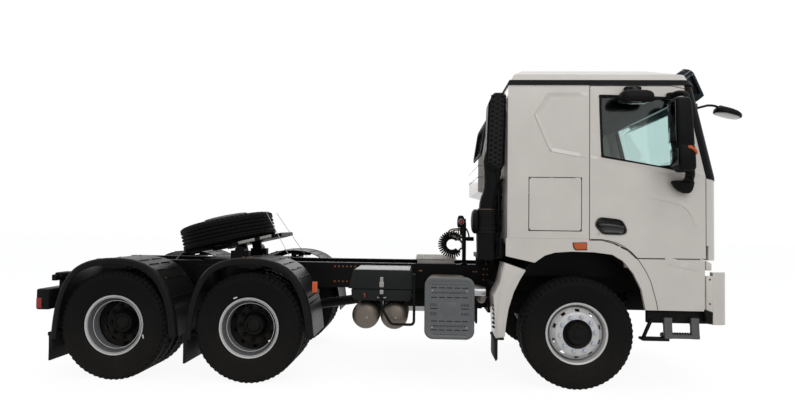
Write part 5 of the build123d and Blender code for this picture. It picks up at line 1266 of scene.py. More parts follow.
        # pipes between the duct and the cab's rear wall
        pipes = []
        for points, r in (([(-0.69, -0.98, 2.04), (-0.722, -0.96, 1.98), (-0.716, -0.95, 1.8),
                            (-0.726, -0.95, 1.6), (-0.716, -0.95, 1.42)], 0.012),
                          ([(-0.69, -0.9, 1.86), (-0.742, -0.88, 1.8), (-0.735, -0.88, 1.62),
                            (-0.75, -0.88, 1.4), (-0.73, -0.88, 1.27)], 0.009),
                          ([(-0.69, -0.93, 1.72), (-0.724, -0.92, 1.66), (-0.712, -0.92, 1.52),
                            (-0.738, -0.93, 1.43)], 0.008)):
            pipes.append(tube(route(points, 8), r, 12))
        piece("rear_pipes", join(pipes), "chassis_black", "chassis")
        # rear window: rubber round the slanted pane, pressed seams round the bulge
        corner, half, low, high = 0.055, 0.452, 2.363, 2.714
        middle, tall = (high + low) / 2, (high - low) / 2
        ring = []
        for t in circle(24) + math.pi / 24:
            y = math.copysign(half - corner, math.cos(t)) + corner * math.cos(t)
            z = middle + math.copysign(tall - corner, math.sin(t)) + corner * math.sin(t)
            ring.append((bulge_x(z) - 0.003, y, z))
        piece("rear_window_rubber", tube(placed(ring), 0.021, 10, closed=True), "rubber", "cab")
        seams = []
        for z in (2.088, 2.212):
            points = [(-0.682, -0.6005, z), (-0.9055, -0.6005, z), (-0.9055, 0.6005, z),
                      (-0.682, 0.6005, z)]
            seams.append(tube(placed(points), 0.0028, 6))
        piece("bulge_seams", join(seams), "dark", "cab")
        return {"FINISHED"}


# the air hose: the ring it hangs in, the angles (degrees) of its ends, its curls' radius and its own
# thickness
RING_STATION, RING_Z, RING_R = -1.165, 1.352, 0.106
RING_FROM, RING_TO = 30.0, 320.0
CURL_R, HOSE_THICK = 0.043, 0.0145


class TRUCK_OT_hose(bpy.types.Operator):
    """Curly air hose on its mast, with its heads and pipes"""

    bl_idname = "truck.hose"
    bl_label = "Air hose"

    def execute(self, context):
        # the route: most of a ring, seen from the side
        y = -0.32
        steps = 13
        turn = math.radians((RING_TO - RING_FROM) / steps)
        reach = RING_R / math.cos(turn / 2)
        points = []
        for k in range(steps + 2):
            angle = math.radians(RING_FROM) + turn * min(max(k - 0.5, 0), steps)
            r = RING_R if k in (0, steps + 1) else reach
            points.append(at(RING_STATION + r * math.cos(angle), y, RING_Z + r * math.sin(angle)))
        curve = bpy.data.curves.new("hose_route", "CURVE")
        curve.dimensions = "3D"
        curve.resolution_u = 24
        spline = curve.splines.new("NURBS")
        spline.points.add(len(points) - 1)
        for p, co in zip(spline.points, points):
            p.co = (*co, 1.0)
        spline.order_u = 3
        spline.use_endpoint_u = True
        route_object = bpy.data.objects.new("hose_route", curve)
        mesh = bpy.data.meshes.new_from_object(route_object)
        path = np.array([v.co[:] for v in mesh.vertices])
        bpy.data.objects.remove(route_object)
        bpy.data.meshes.remove(mesh)
        # helix about the route, its radius growing from nothing in the first and last turn
        run = distances(path)
        turns, per_turn = 27, 20
        share = np.linspace(0.0, 1.0, turns * per_turn + 1)
        middle = np.stack([np.interp(share * run[-1], run, path[:, i]) for i in range(3)], axis=-1)
        ahead = np.gradient(middle, axis=0)
        ahead /= np.linalg.norm(ahead, axis=1)[:, None]
        across = np.array([0.0, 1.0, 0.0])
        out = np.cross(ahead, across)
        angle = share * turns * 2 * math.pi
        swell = CURL_R * np.clip(np.minimum(share, 1 - share) * turns / 0.8, 0.0, 1.0) ** 0.7
        helix = middle + swell[:, None] * (np.cos(angle)[:, None] * across + np.sin(angle)[:, None] * out)
        hose = piece("air_hose", tube(helix, HOSE_THICK / 2, 8), "hose", "chassis",
                     replaces=("curly_hose",), slot="hose_rubber", angle=60.0)
        # mast: folded channel, heads and the block that holds the hose's ends
        mast = [box((-1.055, -0.406, 1.138), (-1.015, -0.394, 1.64), 0.003),
                box((-1.018, -0.41, 1.138), (-1.012, -0.375, 1.6), 0.002),
                box((-1.07, -0.44, 1.138), (-1.0, -0.38, 1.15), 0.003)]
        block_part = box((-1.057, -0.4, 1.297), (-1.015, -0.3, 1.393), 0.006)
        fittings = []
        for end, inner in ((0, 1), (-1, -2)):
            p = np.array(points[end])
            d = np.array(points[inner]) - p
            d = -d / np.linalg.norm(d)
            fittings.append(tube([p - d * 0.004, p + d * 0.012], 0.0125, 6))
            fittings.append(tube([p + d * 0.01, p + d * 0.038], 0.01, 12))
        piece("hose_mast_frame", join(mast + [block_part] + fittings), "chassis_black", "chassis",
              replaces=("hose_mast",), slot="chassis_paint")
        head = column([(1.676, -1.072, -0.365, 0.016, 0.03), (1.672, -1.07, -0.365, 0.026, 0.04),
                       (1.64, -1.068, -0.365, 0.04, 0.046), (1.59, -1.066, -0.365, 0.044, 0.046),
                       (1.556, -1.068, -0.365, 0.04, 0.044), (1.545, -1.07, -0.365, 0.03, 0.036)], 3.4, 32)
        second = column([(1.548, -1.052, -0.345, 0.02, 0.026), (1.54, -1.052, -0.345, 0.027, 0.032),
                         (1.47, -1.05, -0.345, 0.027, 0.032), (1.46, -1.05, -0.345, 0.02, 0.026)], 3.0, 28)
        piece("hose_heads", join([head, second]), "black_plastic", "chassis")
        face = turned([(0.0, 0.001), (0.0, 0.033), (-0.008, 0.033), (-0.011, 0.029), (-0.008, 0.024),
                       (-0.004, 0.022)], 32, ends=False)
        piece("hose_head_ring", moved(face, place(-1.066, -0.4095, 1.606)), "steel", "chassis")
        cap = turned([(0.0, 0.001), (0.0, 0.021), (-0.012, 0.021), (-0.018, 0.017), (-0.02, 0.008),
                      (-0.02, 0.001)], 28)
        piece("hose_head_cap", moved(cap, place(-1.066, -0.408, 1.6)), "cap_red", "chassis")
        pipes = []
        for pipe, r in (([(-1.205, -0.352, 1.462), (-1.2, -0.352, 1.5), (-1.17, -0.35, 1.52),
                          (-1.11, -0.35, 1.528), (-1.07, -0.35, 1.53)], 0.008),
                        ([(-1.19, -0.365, 1.44), (-1.188, -0.365, 1.478), (-1.16, -0.362, 1.503),
                          (-1.11, -0.36, 1.512), (-1.066, -0.355, 1.512)], 0.007),
                        ([(-1.088, -0.362, 1.56), (-1.094, -0.368, 1.5), (-1.092, -0.366, 1.45),
                          (-1.07, -0.36, 1.405), (-1.046, -0.352, 1.38)], 0.007),
                        ([(-1.044, -0.372, 1.548), (-1.01, -0.376, 1.528), (-0.985, -0.372, 1.48),
                          (-0.972, -0.372, 1.43), (-0.93, -0.38, 1.415)], 0.009),
                        ([(-1.05, -0.345, 1.462), (-1.048, -0.35, 1.43), (-1.04, -0.35, 1.392)], 0.011)):
            pipes.append(tube(route(pipe), r, 10))
        piece("hose_pipes", join(pipes), "pipe_brown", "chassis")
        lugs = [box((-1.01, -0.4, 1.395), (-0.925, -0.36, 1.44), 0.008),
                box((-1.04, -0.412, 1.412), (-0.99, -0.392, 1.436), 0.004)]
        piece("hose_bracket", join(lugs), "black_plastic", "chassis")
        return {"FINISHED"}


# lean of the coupling plate and of the spare wheel that lies on it
SPARE_TILT = math.radians(13.0)


def on_coupling(part, x, y, z):
    """A part about the Y axis laid on the tilted coupling, its -Y side up; x is a station."""
    return moved(part, place(x, y, z, (-SPARE_TILT, "Y")) @ Matrix.Rotation(-math.pi / 2, 4, "X"))


class TRUCK_OT_coupling(bpy.types.Operator):
    """Spare wheel on the coupling plate"""

    bl_idname = "truck.coupling"
    bl_label = "Coupling"

    def execute(self, context):
        wheels = context.scene.truck_wheels
        x, z = -3.80908, 1.45107
        piece("spare_tread", on_coupling(tyre_part(wheels, 0.0, -1), x, 0.0, z), "tyre", "fifth_wheel",
              replaces=("spare_tyre",), slot="tyre_rubber")
        rim = join([rim_part(0.0, -1), disc_part(-0.113, -1)])
        piece("spare_rim_shell", on_coupling(rim, x, 0.0, z), "rim_silver", "fifth_wheel",
              replaces=("spare_rim",), slot="rim_paint")
        return {"FINISHED"}


# ---------------------------------------------------------------- mudguards
# guard's run about its axle: columns: station, Z
GUARD_RUN = [(-0.618, -0.14), (-0.6, 0.06), (-0.568, 0.24), (-0.497, 0.425), (-0.383, 0.56), (-0.2, 0.634),
             (0.06, 0.648), (0.262, 0.61), (0.412, 0.52), (0.525, 0.355), (0.592, 0.15), (0.628, -0.1)]


def swept(path, section):
    """Closed section of (Y, offset) points carried along a path of (station, Z) points."""
    path, section = np.asarray(path, float), np.asarray(section, float)
    run = np.gradient(path, axis=0)
    run /= np.linalg.norm(run, axis=1)[:, None]
    normal = np.stack([-run[:, 1], run[:, 0]], axis=-1)
    x = FRONT_AXLE + path[:, :1] + section[None, :, 1] * normal[:, :1]
    z = path[:, 1:] + section[None, :, 1] * normal[:, 1:]
    y = np.broadcast_to(section[None, :, 0], x.shape)
    n = len(section)
    faces = grid_faces(len(path), n, False, True) + end_faces(len(path), n, True)
    return np.stack([x, y, z], axis=-1).reshape(-1, 3), faces


def on_guard(run, share, y, lift):
    """Matrix to a spot on a guard's sheet, a share of the way along its run, with Z square to the sheet."""
    length = distances(run)
    k = int(np.searchsorted(length, share * length[-1]))
    lean = math.atan2(*(run[k + 1] - run[k - 1])[::-1])
    return place(run[k][0], y, run[k][1], (-lean, "Y")) @ Matrix.Translation((0, 0, lift))


class TRUCK_OT_mudguards(bpy.types.Operator):
    """Rear mudguards with rolled lips, pressed ribs, bolts, flaps and side markers"""

    bl_idname = "truck.mudguards"
    bl_label = "Mudguards"

    def execute(self, context):
        wheel_z = context.scene.truck_wheels.tyre_radius
        sheets, ribs, bolts, flaps, stays = [], [], [], [], []
        bolt = turned([(0.0, 0.001), (0.0, 0.011), (-0.006, 0.01), (-0.008, 0.006), (-0.009, 0.001)], 10)
        upright = Matrix.Rotation(-math.pi / 2, 4, "X")
        for axle, lift in ((REAR_AXLE, 0.0), (MID_AXLE, 0.022)):
            run = smooth_path([(x, 0.0, z) for x, z in GUARD_RUN], 7)[:, [0, 2]] + [axle, wheel_z + lift]
            section = [(-0.622, 0.009), (-1.18, 0.009), (-1.192, 0.014), (-1.232, 0.013), (-1.25, 0.004),
                       (-1.26, -0.012), (-1.262, -0.052), (-1.254, -0.056), (-1.246, -0.05),
                       (-1.24, -0.014), (-1.222, -0.004), (-1.18, -0.002), (-0.622, -0.002)]
            sheets.append(swept(run, section))
            # pressed ribs across the sheet ahead of and over the wheel: share of the run, Y, width
            spots = [(share, y, 0.2) for share in (0.6, 0.645, 0.69, 0.735) for y in (-0.8, -1.06)]
            spots += [(share, -0.93, 0.46) for share in (0.83, 0.86)]
            for share, y, wide in spots:
                ribs.append(moved(block((0.016, wide, 0.012), 0.0055), on_guard(run, share, y, 0.011)))
            for share in (0.4, 0.5, 0.6, 0.735):
                for y in (-0.7, -1.14):
                    bolts.append(moved(bolt, on_guard(run, share, y, 0.01) @ upright))
            # stay from the rail with two legs up to the sheet
            top = wheel_z + lift + 0.64
            stays.append(box((axle - 0.03, -1.158, 1.099), (axle + 0.03, -0.432, 1.129), 0.006))
            for y in (-0.68, -1.14):
                stays.append(box((axle - 0.032, y - 0.015, 1.108), (axle + 0.032, y + 0.015, top), 0.005))
            stays.append(prism([(axle - 0.16, top - 0.004), (axle - 0.11, top - 0.075),
                                (axle + 0.11, top - 0.075), (axle + 0.16, top - 0.004)], -1.232, -1.222,
                               0.003))
            # flap: ribbed rubber sheet bolted under the guard's rear end
            flaps.append(prism([(axle - 0.644, 0.452), (axle - 0.6, 0.452), (axle - 0.602, 0.3),
                                (axle - 0.618, 0.182), (axle - 0.64, 0.182), (axle - 0.64, 0.3)], -1.248,
                               -0.632, 0.006))
            flaps.append(box((axle - 0.652, -1.25, 0.425), (axle - 0.596, -0.64, 0.462), 0.006))
        body = {"guard_sheets": (sheets + stays, "guard_black"), "guard_ribs": (ribs, "guard_black"),
                "guard_bolts": (bolts, "bolt_rust"), "guard_flaps": (flaps, "rubber")}
        for name, (parts, material) in body.items():
            extra = {"replaces": ("mudguards",), "slot": "guard_plastic"} if name == "guard_sheets" else {}
            piece(name, both_sides(*parts), material, "chassis", **extra)
        # amber side marker on its bracket ahead of the middle wheels
        marker = box((-2.552, -1.262, 0.897), (-2.502, -1.246, 1.001), 0.004)
        bracket = box((-2.546, -1.25, 0.885), (-2.508, -1.12, 0.915), 0.003)
        piece("side_markers", both_sides(marker), "lens_amber", "chassis")
        piece("side_marker_brackets", both_sides(bracket), "guard_black", "chassis")
        return {"FINISHED"}


# ---------------------------------------------------------------- gear on the right of the frame
def slot_row(z, spans, high, y, thick=0.0008):
    """Level row of near-black slot insets, painted shade for the slots' insides: spans are (first, last)
    stations.
    """
    return [box((a, y, z - high / 2), (b, y - thick, z + high / 2), 0.0003, 1) for a, b in spans]


class TRUCK_OT_side_gear(bpy.types.Operator):
    """Tool box, air tanks, silencer cover and walkway plate"""

    bl_idname = "truck.side_gear"
    bl_label = "Side gear"

    def execute(self, context):
        lid = prism([(-2.219, 0.928), (-2.213, 0.96), (-2.176, 1.104), (-2.164, 1.114), (-1.616, 1.114),
                     (-1.604, 1.104), (-1.568, 0.96), (-1.562, 0.928)], -1.098, -0.47, 0.012)
        rim = box((-2.221, -1.102, 0.926), (-1.56, -0.47, 0.94), 0.004)
        ribs = [box((x - 0.012, -1.101, 0.965), (x + 0.012, -1.094, 1.085), 0.003)
                for x in (-2.145, -1.635)]
        piece("toolbox_lid_skin", join([lid, rim] + ribs), "box_grey", "toolbox_lid",
              replaces=("toolbox_lid",), slot="box_paint")
        # the lid's top face in a lighter grey: painted highlight where light from above falls
        top = prism([(-2.168, 1.108), (-2.164, 1.116), (-1.616, 1.116), (-1.612, 1.108)], -1.09, -0.475,
                    0.003)
        piece("toolbox_lid_top_highlight", top, "lid_edge", "toolbox_lid")
        latch = join([box((-1.912, -1.116, 0.945), (-1.868, -1.098, 1.0), 0.003),
                      box((-1.905, -1.112, 0.985), (-1.875, -1.1, 1.045), 0.002)])
        piece("toolbox_latch", latch, "bare_steel", "toolbox_lid")
        body = prism([(-2.196, 0.921), (-2.19, 0.85), (-2.16, 0.812), (-2.14, 0.808), (-1.64, 0.808),
                      (-1.62, 0.812), (-1.59, 0.85), (-1.584, 0.921)], -1.088, -0.47, 0.01)
        feet = [box((x - 0.03, -0.47, 0.83), (x + 0.03, -0.432, 0.9), 0.004) for x in (-2.1, -1.68)]
        piece("toolbox_body", join([body] + feet), "box_grey", "chassis", replaces=("toolbox",),
              slot="box_paint")
        bail = route([(-1.93, -1.088, 0.846), (-1.925, -1.108, 0.842), (-1.855, -1.108, 0.842),
                      (-1.85, -1.088, 0.846)], 5)
        keeper = join([box((-1.908, -1.104, 0.875), (-1.872, -1.086, 0.918), 0.003), tube(bail, 0.007, 8)])
        piece("toolbox_keeper", keeper, "bare_steel", "chassis")
        # bar ahead of the tanks: straight runs with rounded bends
        corners = [(-1.891, 0.828), (-1.884, 0.74), (-1.792, 0.585), (-1.567, 0.585), (-1.567, 1.08)]
        bent = [np.array(corners[0])]
        for a, b, c in zip(corners, corners[1:], corners[2:]):
            a, b, c = np.array(a), np.array(b), np.array(c)
            u, v = (a - b) / np.linalg.norm(a - b) * 0.04, (c - b) / np.linalg.norm(c - b) * 0.04
            bent += [b + u * (1 - t) ** 2 + v * t**2 for t in np.linspace(0, 1, 7)]
        bent.append(np.array(corners[-1]))
        guard = tube(on_side(bent, -1.122), 0.0135, 14)
        pads = [box((-1.911, -1.126, 0.823), (-1.871, -1.086, 0.853), 0.004),
                box((-1.595, -1.126, 0.853), (-1.555, -1.086, 0.883), 0.004)]
        piece("tank_guard", join([guard] + pads), "chassis_black", "chassis")
        # air tanks: domed heads, weld rings, straps and drain fittings
        tank_z = 0.651
        profile = [(-1.05, 0.001), (-1.048, 0.04), (-1.04, 0.08), (-1.026, 0.11), (-1.008, 0.128),
                   (-0.986, 0.1355), (-0.978, 0.137), (-0.976, 0.1385), (-0.966, 0.1385), (-0.964, 0.137),
                   (-0.55, 0.137), (-0.52, 0.128), (-0.49, 0.08), (-0.48, 0.001)]
        drain = turned([(0.0, 0.001), (0.0, 0.016), (-0.006, 0.016), (-0.007, 0.011), (-0.014, 0.01),
                        (-0.015, 0.001)], 20)
        tanks, straps, drains = [], [], []
        for x in (-2.056, -1.768):
            tanks.append(moved(turned(profile, 72), place(x, 0.0, tank_z)))
            for y in (-0.9, -0.62):
                band = [(y - 0.018, 0.137), (y - 0.017, 0.1395), (y + 0.017, 0.1395), (y + 0.018, 0.137)]
                straps.append(moved(turned(band, 64, ends=False), place(x, 0.0, tank_z)))
                straps.append(box((x - 0.06, y - 0.02, 0.77), (x + 0.06, y + 0.02, 0.812), 0.005))
            drains.append(moved(drain, place(x + 0.018, -1.04, 0.636)))
        piece("air_tank_shells", join(tanks), "tank_metal", "chassis", replaces=("air_tanks",),
              slot="tank_metal")
        piece("air_tank_straps", join(straps), "chassis_black", "chassis")
        piece("air_tank_drains", join(drains), "bare_steel", "chassis")
        red = [box((-2.062, -1.112, 0.842), (-2.052, -1.106, 0.872), 0.002),
               box((-2.07, -1.114, 0.87), (-2.046, -1.106, 0.882), 0.003)]
        piece("box_tag", join(red), "cap_red", "chassis")
        # silencer cover: rounded plate with a raised rim, louvres and fine holes; the louvres' slots and the
        # holes are near-black insets laid on the face, painted shade for their dark insides
        x0, x1, z0, z1, r = -1.466, -0.984, 0.465, 1.062, 0.085
        turns = circle(32, 0.5)
        middle_x, middle_z = (x0 + x1) / 2, (z0 + z1) / 2

        def rounded(inset):
            """Outline set in from the cover's edge, with round corners."""
            rr = r - inset * 0.6
            wide, tall = (x1 - x0) / 2 - inset - rr, (z1 - z0) / 2 - inset - rr
            return [(middle_x + math.copysign(wide, math.cos(t)) + rr * math.cos(t),
                     middle_z + math.copysign(tall, math.sin(t)) + rr * math.sin(t)) for t in turns]

        rings = []
        for inset, y in ((0.004, -1.182), (0.0, -1.186), (0.0, -1.212), (0.004, -1.218), (0.012, -1.222),
                         (0.026, -1.222), (0.032, -1.219), (0.038, -1.2145), (0.06, -1.214)):
            rings.append(np.array(on_side(rounded(inset), y)))
        n = len(turns)
        plate = np.concatenate(rings), grid_faces(len(rings), n, False, True) + end_faces(len(rings), n)
        brace = [box((x0 + 0.06, -1.184, z), (x1 - 0.06, -1.174, z + 0.03), 0.003) for z in (0.62, 0.9)]
        blank = prism([(-1.285, 0.7), (-1.31, 0.76), (-1.285, 0.825), (-1.165, 0.825), (-1.14, 0.76),
                       (-1.165, 0.7)], -1.2165, -1.212, 0.0015)
        piece("silencer_cover_plate", join([plate, blank] + brace), "cover_grey", "chassis",
              replaces=("silencer_cover",), slot="cover_paint")
        face, across = -1.2141, np.linspace(x0 + 0.055, x1 - 0.055, 6)
        # slots and holes drawn as flat near-black insets: painted shade inside openings that are not cut
        dark = []
        for z in (0.96, 0.868, 0.64, 0.556):
            spans = [(a + 0.01, b - 0.008) for a, b in zip(across[:-1], across[1:])]
            dark += slot_row(z, spans, 0.0075, face)
        dark += slot_row(0.76, [(across[0], across[1]), (across[4], across[5])], 0.0075, face)
        dots = []
        for z in (0.99, 0.918, 0.909, 0.598, 0.589, 0.512):
            dots += [(x, z) for x in np.arange(x0 + 0.075, x1 - 0.07, 0.0135)]
        for z in (0.805, 0.795, 0.785, 0.72, 0.71, 0.7):
            dots += [(x, z) for x in np.arange(x0 + 0.06, x0 + 0.125, 0.0135)]
            dots += [(x, z) for x in np.arange(x1 - 0.125, x1 - 0.055, 0.0135)]
        hole = turned([(0.0, 0.001), (0.0, 0.0037), (-0.0008, 0.0035), (-0.0009, 0.001)], 8)
        dark.append(copies(hole, [place(x, face, z) for x, z in dots]))
        piece("silencer_cover_hole_shade", join(dark), "dark", "chassis")
        bolt = turned([(0.0, 0.001), (0.0, 0.009), (-0.004, 0.009), (-0.006, 0.006), (-0.006, 0.001)], 12)
        spots = [(x, z) for x in (x0 + 0.075, x1 - 0.075) for z in (0.932, 0.58)]
        piece("silencer_cover_bolts", copies(bolt, [place(x, -1.2141, z) for x, z in spots]), "bare_steel",
              "chassis")
        # walkway plate with a raised tread
        deck = box((-1.568, -0.45, 1.19), (-1.118, 0.45, 1.198), 0.003)
        skirts = [box((-1.548, y - 0.006, 1.138), (-1.138, y + 0.006, 1.192), 0.002) for y in (-0.4, 0.4)]
        stud = block((0.03, 0.006, 0.003), 0.0014, 1)
        places = []
        for i in range(17):
            for j in range(34):
                lean = math.pi / 4 * (1 if (i + j) % 2 else -1)
                places.append(place(-1.548 + i * 0.0255, -0.433 + j * 0.0262, 1.1985, (lean, "Z")))
        walkway = join([deck] + skirts + [copies(stud, places)])
        piece("walkway_deck", walkway, "deck", "chassis", replaces=("walkway_plate",), slot="deck_metal")
        # exhaust pipe between the cover and the cab's fender
        link = route([(-1.02, -0.955, 0.905), (-0.92, -0.955, 0.905), (-0.86, -0.95, 0.905)], 5)
        pipe = tube(link, 0.046, 20)
        piece("exhaust_link", pipe, "steel", "chassis")
        # rail bolts: two rows along the web, with pairs at the stays
        spots = [(x, z) for x in np.arange(-2.46, -2.22, 0.045) for z in (1.095, 0.93)]
        spots += [(x, 1.06) for x in (-1.52, -1.5, -0.93, -0.9)]
        spots += [(x, z) for x in (-0.82, -0.78) for z in (1.09, 1.03, 0.97)]
        head = turned([(0.0, 0.001), (0.0, 0.011), (-0.007, 0.011), (-0.008, 0.007), (-0.009, 0.001)], 6)
        rail = copies(head, [place(x, -0.4305, z) for x, z in spots])
        piece("rail_bolts", both_sides(rail), "bolt_rust", "chassis")
        return {"FINISHED"}


class TRUCK_OT_low_front(bpy.types.Operator):
    """Fenders behind the front wheels, steps, corner strips and lamps"""

    bl_idname = "truck.low_front"
    bl_label = "Low front"

    def execute(self, context):
        outline = [(-0.705, 1.214), (-0.495, 1.144), (-0.553, 1.048), (-0.61, 0.931), (-0.659, 0.772),
                   (-0.68, 0.641), (-0.694, 0.499), (-0.786, 0.487), (-0.808, 0.892), (-0.745, 1.014)]
        facet = [(-0.7, 1.206), (-0.512, 1.143), (-0.59, 1.07), (-0.676, 0.9), (-0.716, 0.64),
                 (-0.722, 0.505), (-0.775, 0.502), (-0.775, 0.64), (-0.752, 0.9), (-0.722, 1.04)]
        fender = [prism(outline, -1.228, -0.897, 0.012), prism(facet, -1.2345, -1.2, 0.007)]
        # slits drawn as near-black strips on the fender's rear face: painted shade for the dark insides of
        # openings that are not cut
        slit_shades = [box((-0.809, -1.225, 0.585 + k * 0.042), (-0.79, -1.13, 0.593 + k * 0.042), 0.001, 1)
                 for k in range(6)]
        sheet = [(-0.79, 0.5), (-0.758, 0.5), (-0.758, 0.285), (-0.776, 0.262), (-0.79, 0.3)]
        flap = [prism(sheet, -1.2, -0.9, 0.006),
                box((-0.8, -1.215, 0.47), (-0.7, -0.905, 0.494), 0.006),
                box((-0.786, -0.905, 0.935), (-0.736, -0.432, 0.985), 0.006)]
        # steps: black side rail and lower bar, grey step with a toothed tread
        black = [box((0.656, -1.175, 0.657), (1.244, -1.125, 0.775), 0.01),
                 box((0.97, -1.13, 0.686), (1.03, -0.432, 0.746), 0.008),
                 box((0.97, -0.48, 0.715), (1.03, -0.43, 0.885), 0.006),
                 box((0.592, -1.236, 0.496), (0.846, -1.124, 0.522), 0.007),
                 prism([(0.592, 0.498), (0.62, 0.498), (0.704, 0.69), (0.674, 0.69)], -1.208, -1.172,
                       0.005)]
        # a hanger is drawn in the plane of Y and Z, so its X and Y change places
        rows = [(-1.17, 0.716), (-1.222, 0.716), (-1.222, 0.655), (-1.236, 0.52), (-1.192, 0.52),
                (-1.184, 0.64), (-1.17, 0.66)]
        swap = Matrix(((0, 1, 0, FRONT_AXLE), (1, 0, 0, -FRONT_AXLE), (0, 0, 1, 0), (0, 0, 0, 1)))
        grey = []
        for x in (0.838, 1.088):
            xyz, faces = moved(prism(rows, x - 0.038, x + 0.038, 0.006), swap)
            grey.append((xyz, [f[::-1] for f in faces]))
        grey.append(box((0.8, -1.236, 0.522), (1.126, -1.114, 0.558), 0.006))
        tooth, faces = prism([(-0.008, 0.0), (0.008, 0.0), (0.004, 0.01), (-0.004, 0.01)], -0.05, 0.05,
                             0.001)
        tooth = np.asarray(tooth) - [FRONT_AXLE, 0, 0]
        spots = [place(x, -1.178, 0.556) for x in np.arange(0.815, 1.115, 0.024)]
        grey.append(copies((tooth, faces), spots))
        # strip between the step panel and the bumper, with two bolts, and the black corner under it
        strip = [prism([(1.184, 1.118), (1.249, 1.118), (1.249, 0.775), (1.184, 0.8)], -1.2345, -1.205,
                       0.006)]
        corner = [(1.183, 0.796), (1.247, 0.772), (1.238, 0.66), (1.19, 0.668), (1.17, 0.76)]
        black.append(prism(corner, -1.232, -1.13, 0.01))
        bolt = turned([(0.0, 0.001), (0.0, 0.009), (-0.004, 0.009), (-0.005, 0.001)], 12)
        bolts = [copies(bolt, [place(1.217, -1.2345, z) for z in (1.085, 0.855)])]
        # rear lamps: black housing on its arms, and the red lenses
        black += [box((-5.334, -1.21, 0.673), (-5.2, -0.862, 0.879), 0.016),
                  box((-5.2, -1.18, 0.96), (-5.15, -0.432, 1.02), 0.006),
                  box((-5.205, -1.05, 0.85), (-5.165, -0.99, 0.99), 0.005),
                  box((-5.19, -1.15, 0.985), (-5.11, -0.96, 1.04), 0.012)]
        red = [box((-5.3365, -1.19, 0.69), (-5.322, -1.045, 0.86), 0.006),
               box((-5.33, -1.2125, 0.69), (-5.275, -1.204, 0.79), 0.005)]
        # headlamps: dark bowl with two cups behind a clear slab that follows the bumper's curve, in plan
        lens_plan = [(1.388, 1.118), (1.402, 0.96), (1.414, 0.802), (1.404, 0.802), (1.392, 0.96),
                     (1.378, 1.118)]
        bowl_plan = [(1.376, 1.118), (1.39, 0.96), (1.402, 0.802), (1.352, 0.802), (1.332, 1.118)]
        lay = Matrix.Rotation(math.pi / 2, 4, "X")
        lens = [moved(prism(lens_plan, 0.792, 0.958, 0.003), lay)]
        bowl = [moved(prism(bowl_plan, 0.791, 0.959, 0.003), lay)]
        cups = []
        for x, y, r in ((1.372, -1.045, 0.066), (1.386, -0.885, 0.058)):
            section = [(0.0, 0.001), (0.004, r * 0.5), (0.018, r * 0.92), (0.022, r), (0.018, r + 0.005)]
            cups.append(moved(turned(section, 40, ends=False), place(x, y, 0.876, (-math.pi / 2, "Z"))))
        # columns: name, parts, material, replaced nodes, slot
        for name, parts, material, replaced, slot in (
                ("fenders", fender, "cab_paint", ("cab_fenders",), "cab_paint"),
                ("fender_slit_shade", slit_shades, "dark", (), None),
                ("fender_flaps", flap, "rubber", (), None),
                ("step_irons", grey, "cast_step", ("steps",), "cast_step"),
                ("low_front_black", black, "chassis_black", (), None),
                ("corner_strips", strip, "cab_paint", (), None),
                ("corner_bolts", bolts, "bolt_rust", (), None),
                ("rear_lenses", red, "lens_red", ("lamps",), "lamp_lens"),
                ("headlamp_lenses", lens, "lens_clear", (), None),
                ("headlamp_bowls", bowl, "black_plastic", (), None),
                ("headlamp_cups", cups, "mirror", (), None)):
            piece(name, both_sides(*parts), material, "chassis", replaces=replaced, slot=slot)
        return {"FINISHED"}


class TRUCK_OT_ties(bpy.types.Operator):
    """Wires that hold the spare wheel, and the coupling's bright edges"""

    bl_idname = "truck.ties"
    bl_label = "Ties"

    def execute(self, context):
        wires = []
        for a, b in (((-3.3, -0.25, 1.7), (-2.945, -0.425, 1.142)),
                     ((-3.29, 0.2, 1.69), (-2.95, 0.425, 1.142)),
                     ((-4.235, -0.15, 1.3), (-4.262, -0.425, 1.142))):
            wires.append(tube(np.linspace(at(*a), at(*b), 6), 0.0028, 6))
        piece("spare_wires", join(wires), "steel", "chassis")
        plate = place(-3.542, 0.0, 1.25, (-SPARE_TILT, "Y"))
        bright = [moved(block((length, 0.006, 0.034), 0.003), plate
                        @ Matrix.Translation((x, -0.457, 0.086)))
                  for length, x in ((0.19, 0.11), (0.13, 0.33))]
        piece("coupling_edges", both_sides(*bright), "bare_steel", "fifth_wheel")
        return {"FINISHED"}


# edge of the front wheel arch: columns: station, Z
ARCH_RUN = [(-0.681, 0.56), (-0.654, 0.752), (-0.589, 0.965), (-0.484, 1.149), (-0.36, 1.255),
            (-0.245, 1.305), (-0.072, 1.33), (0.14, 1.333), (0.314, 1.308), (0.468, 1.208), (0.575, 1.045),
            (0.632, 0.8)]


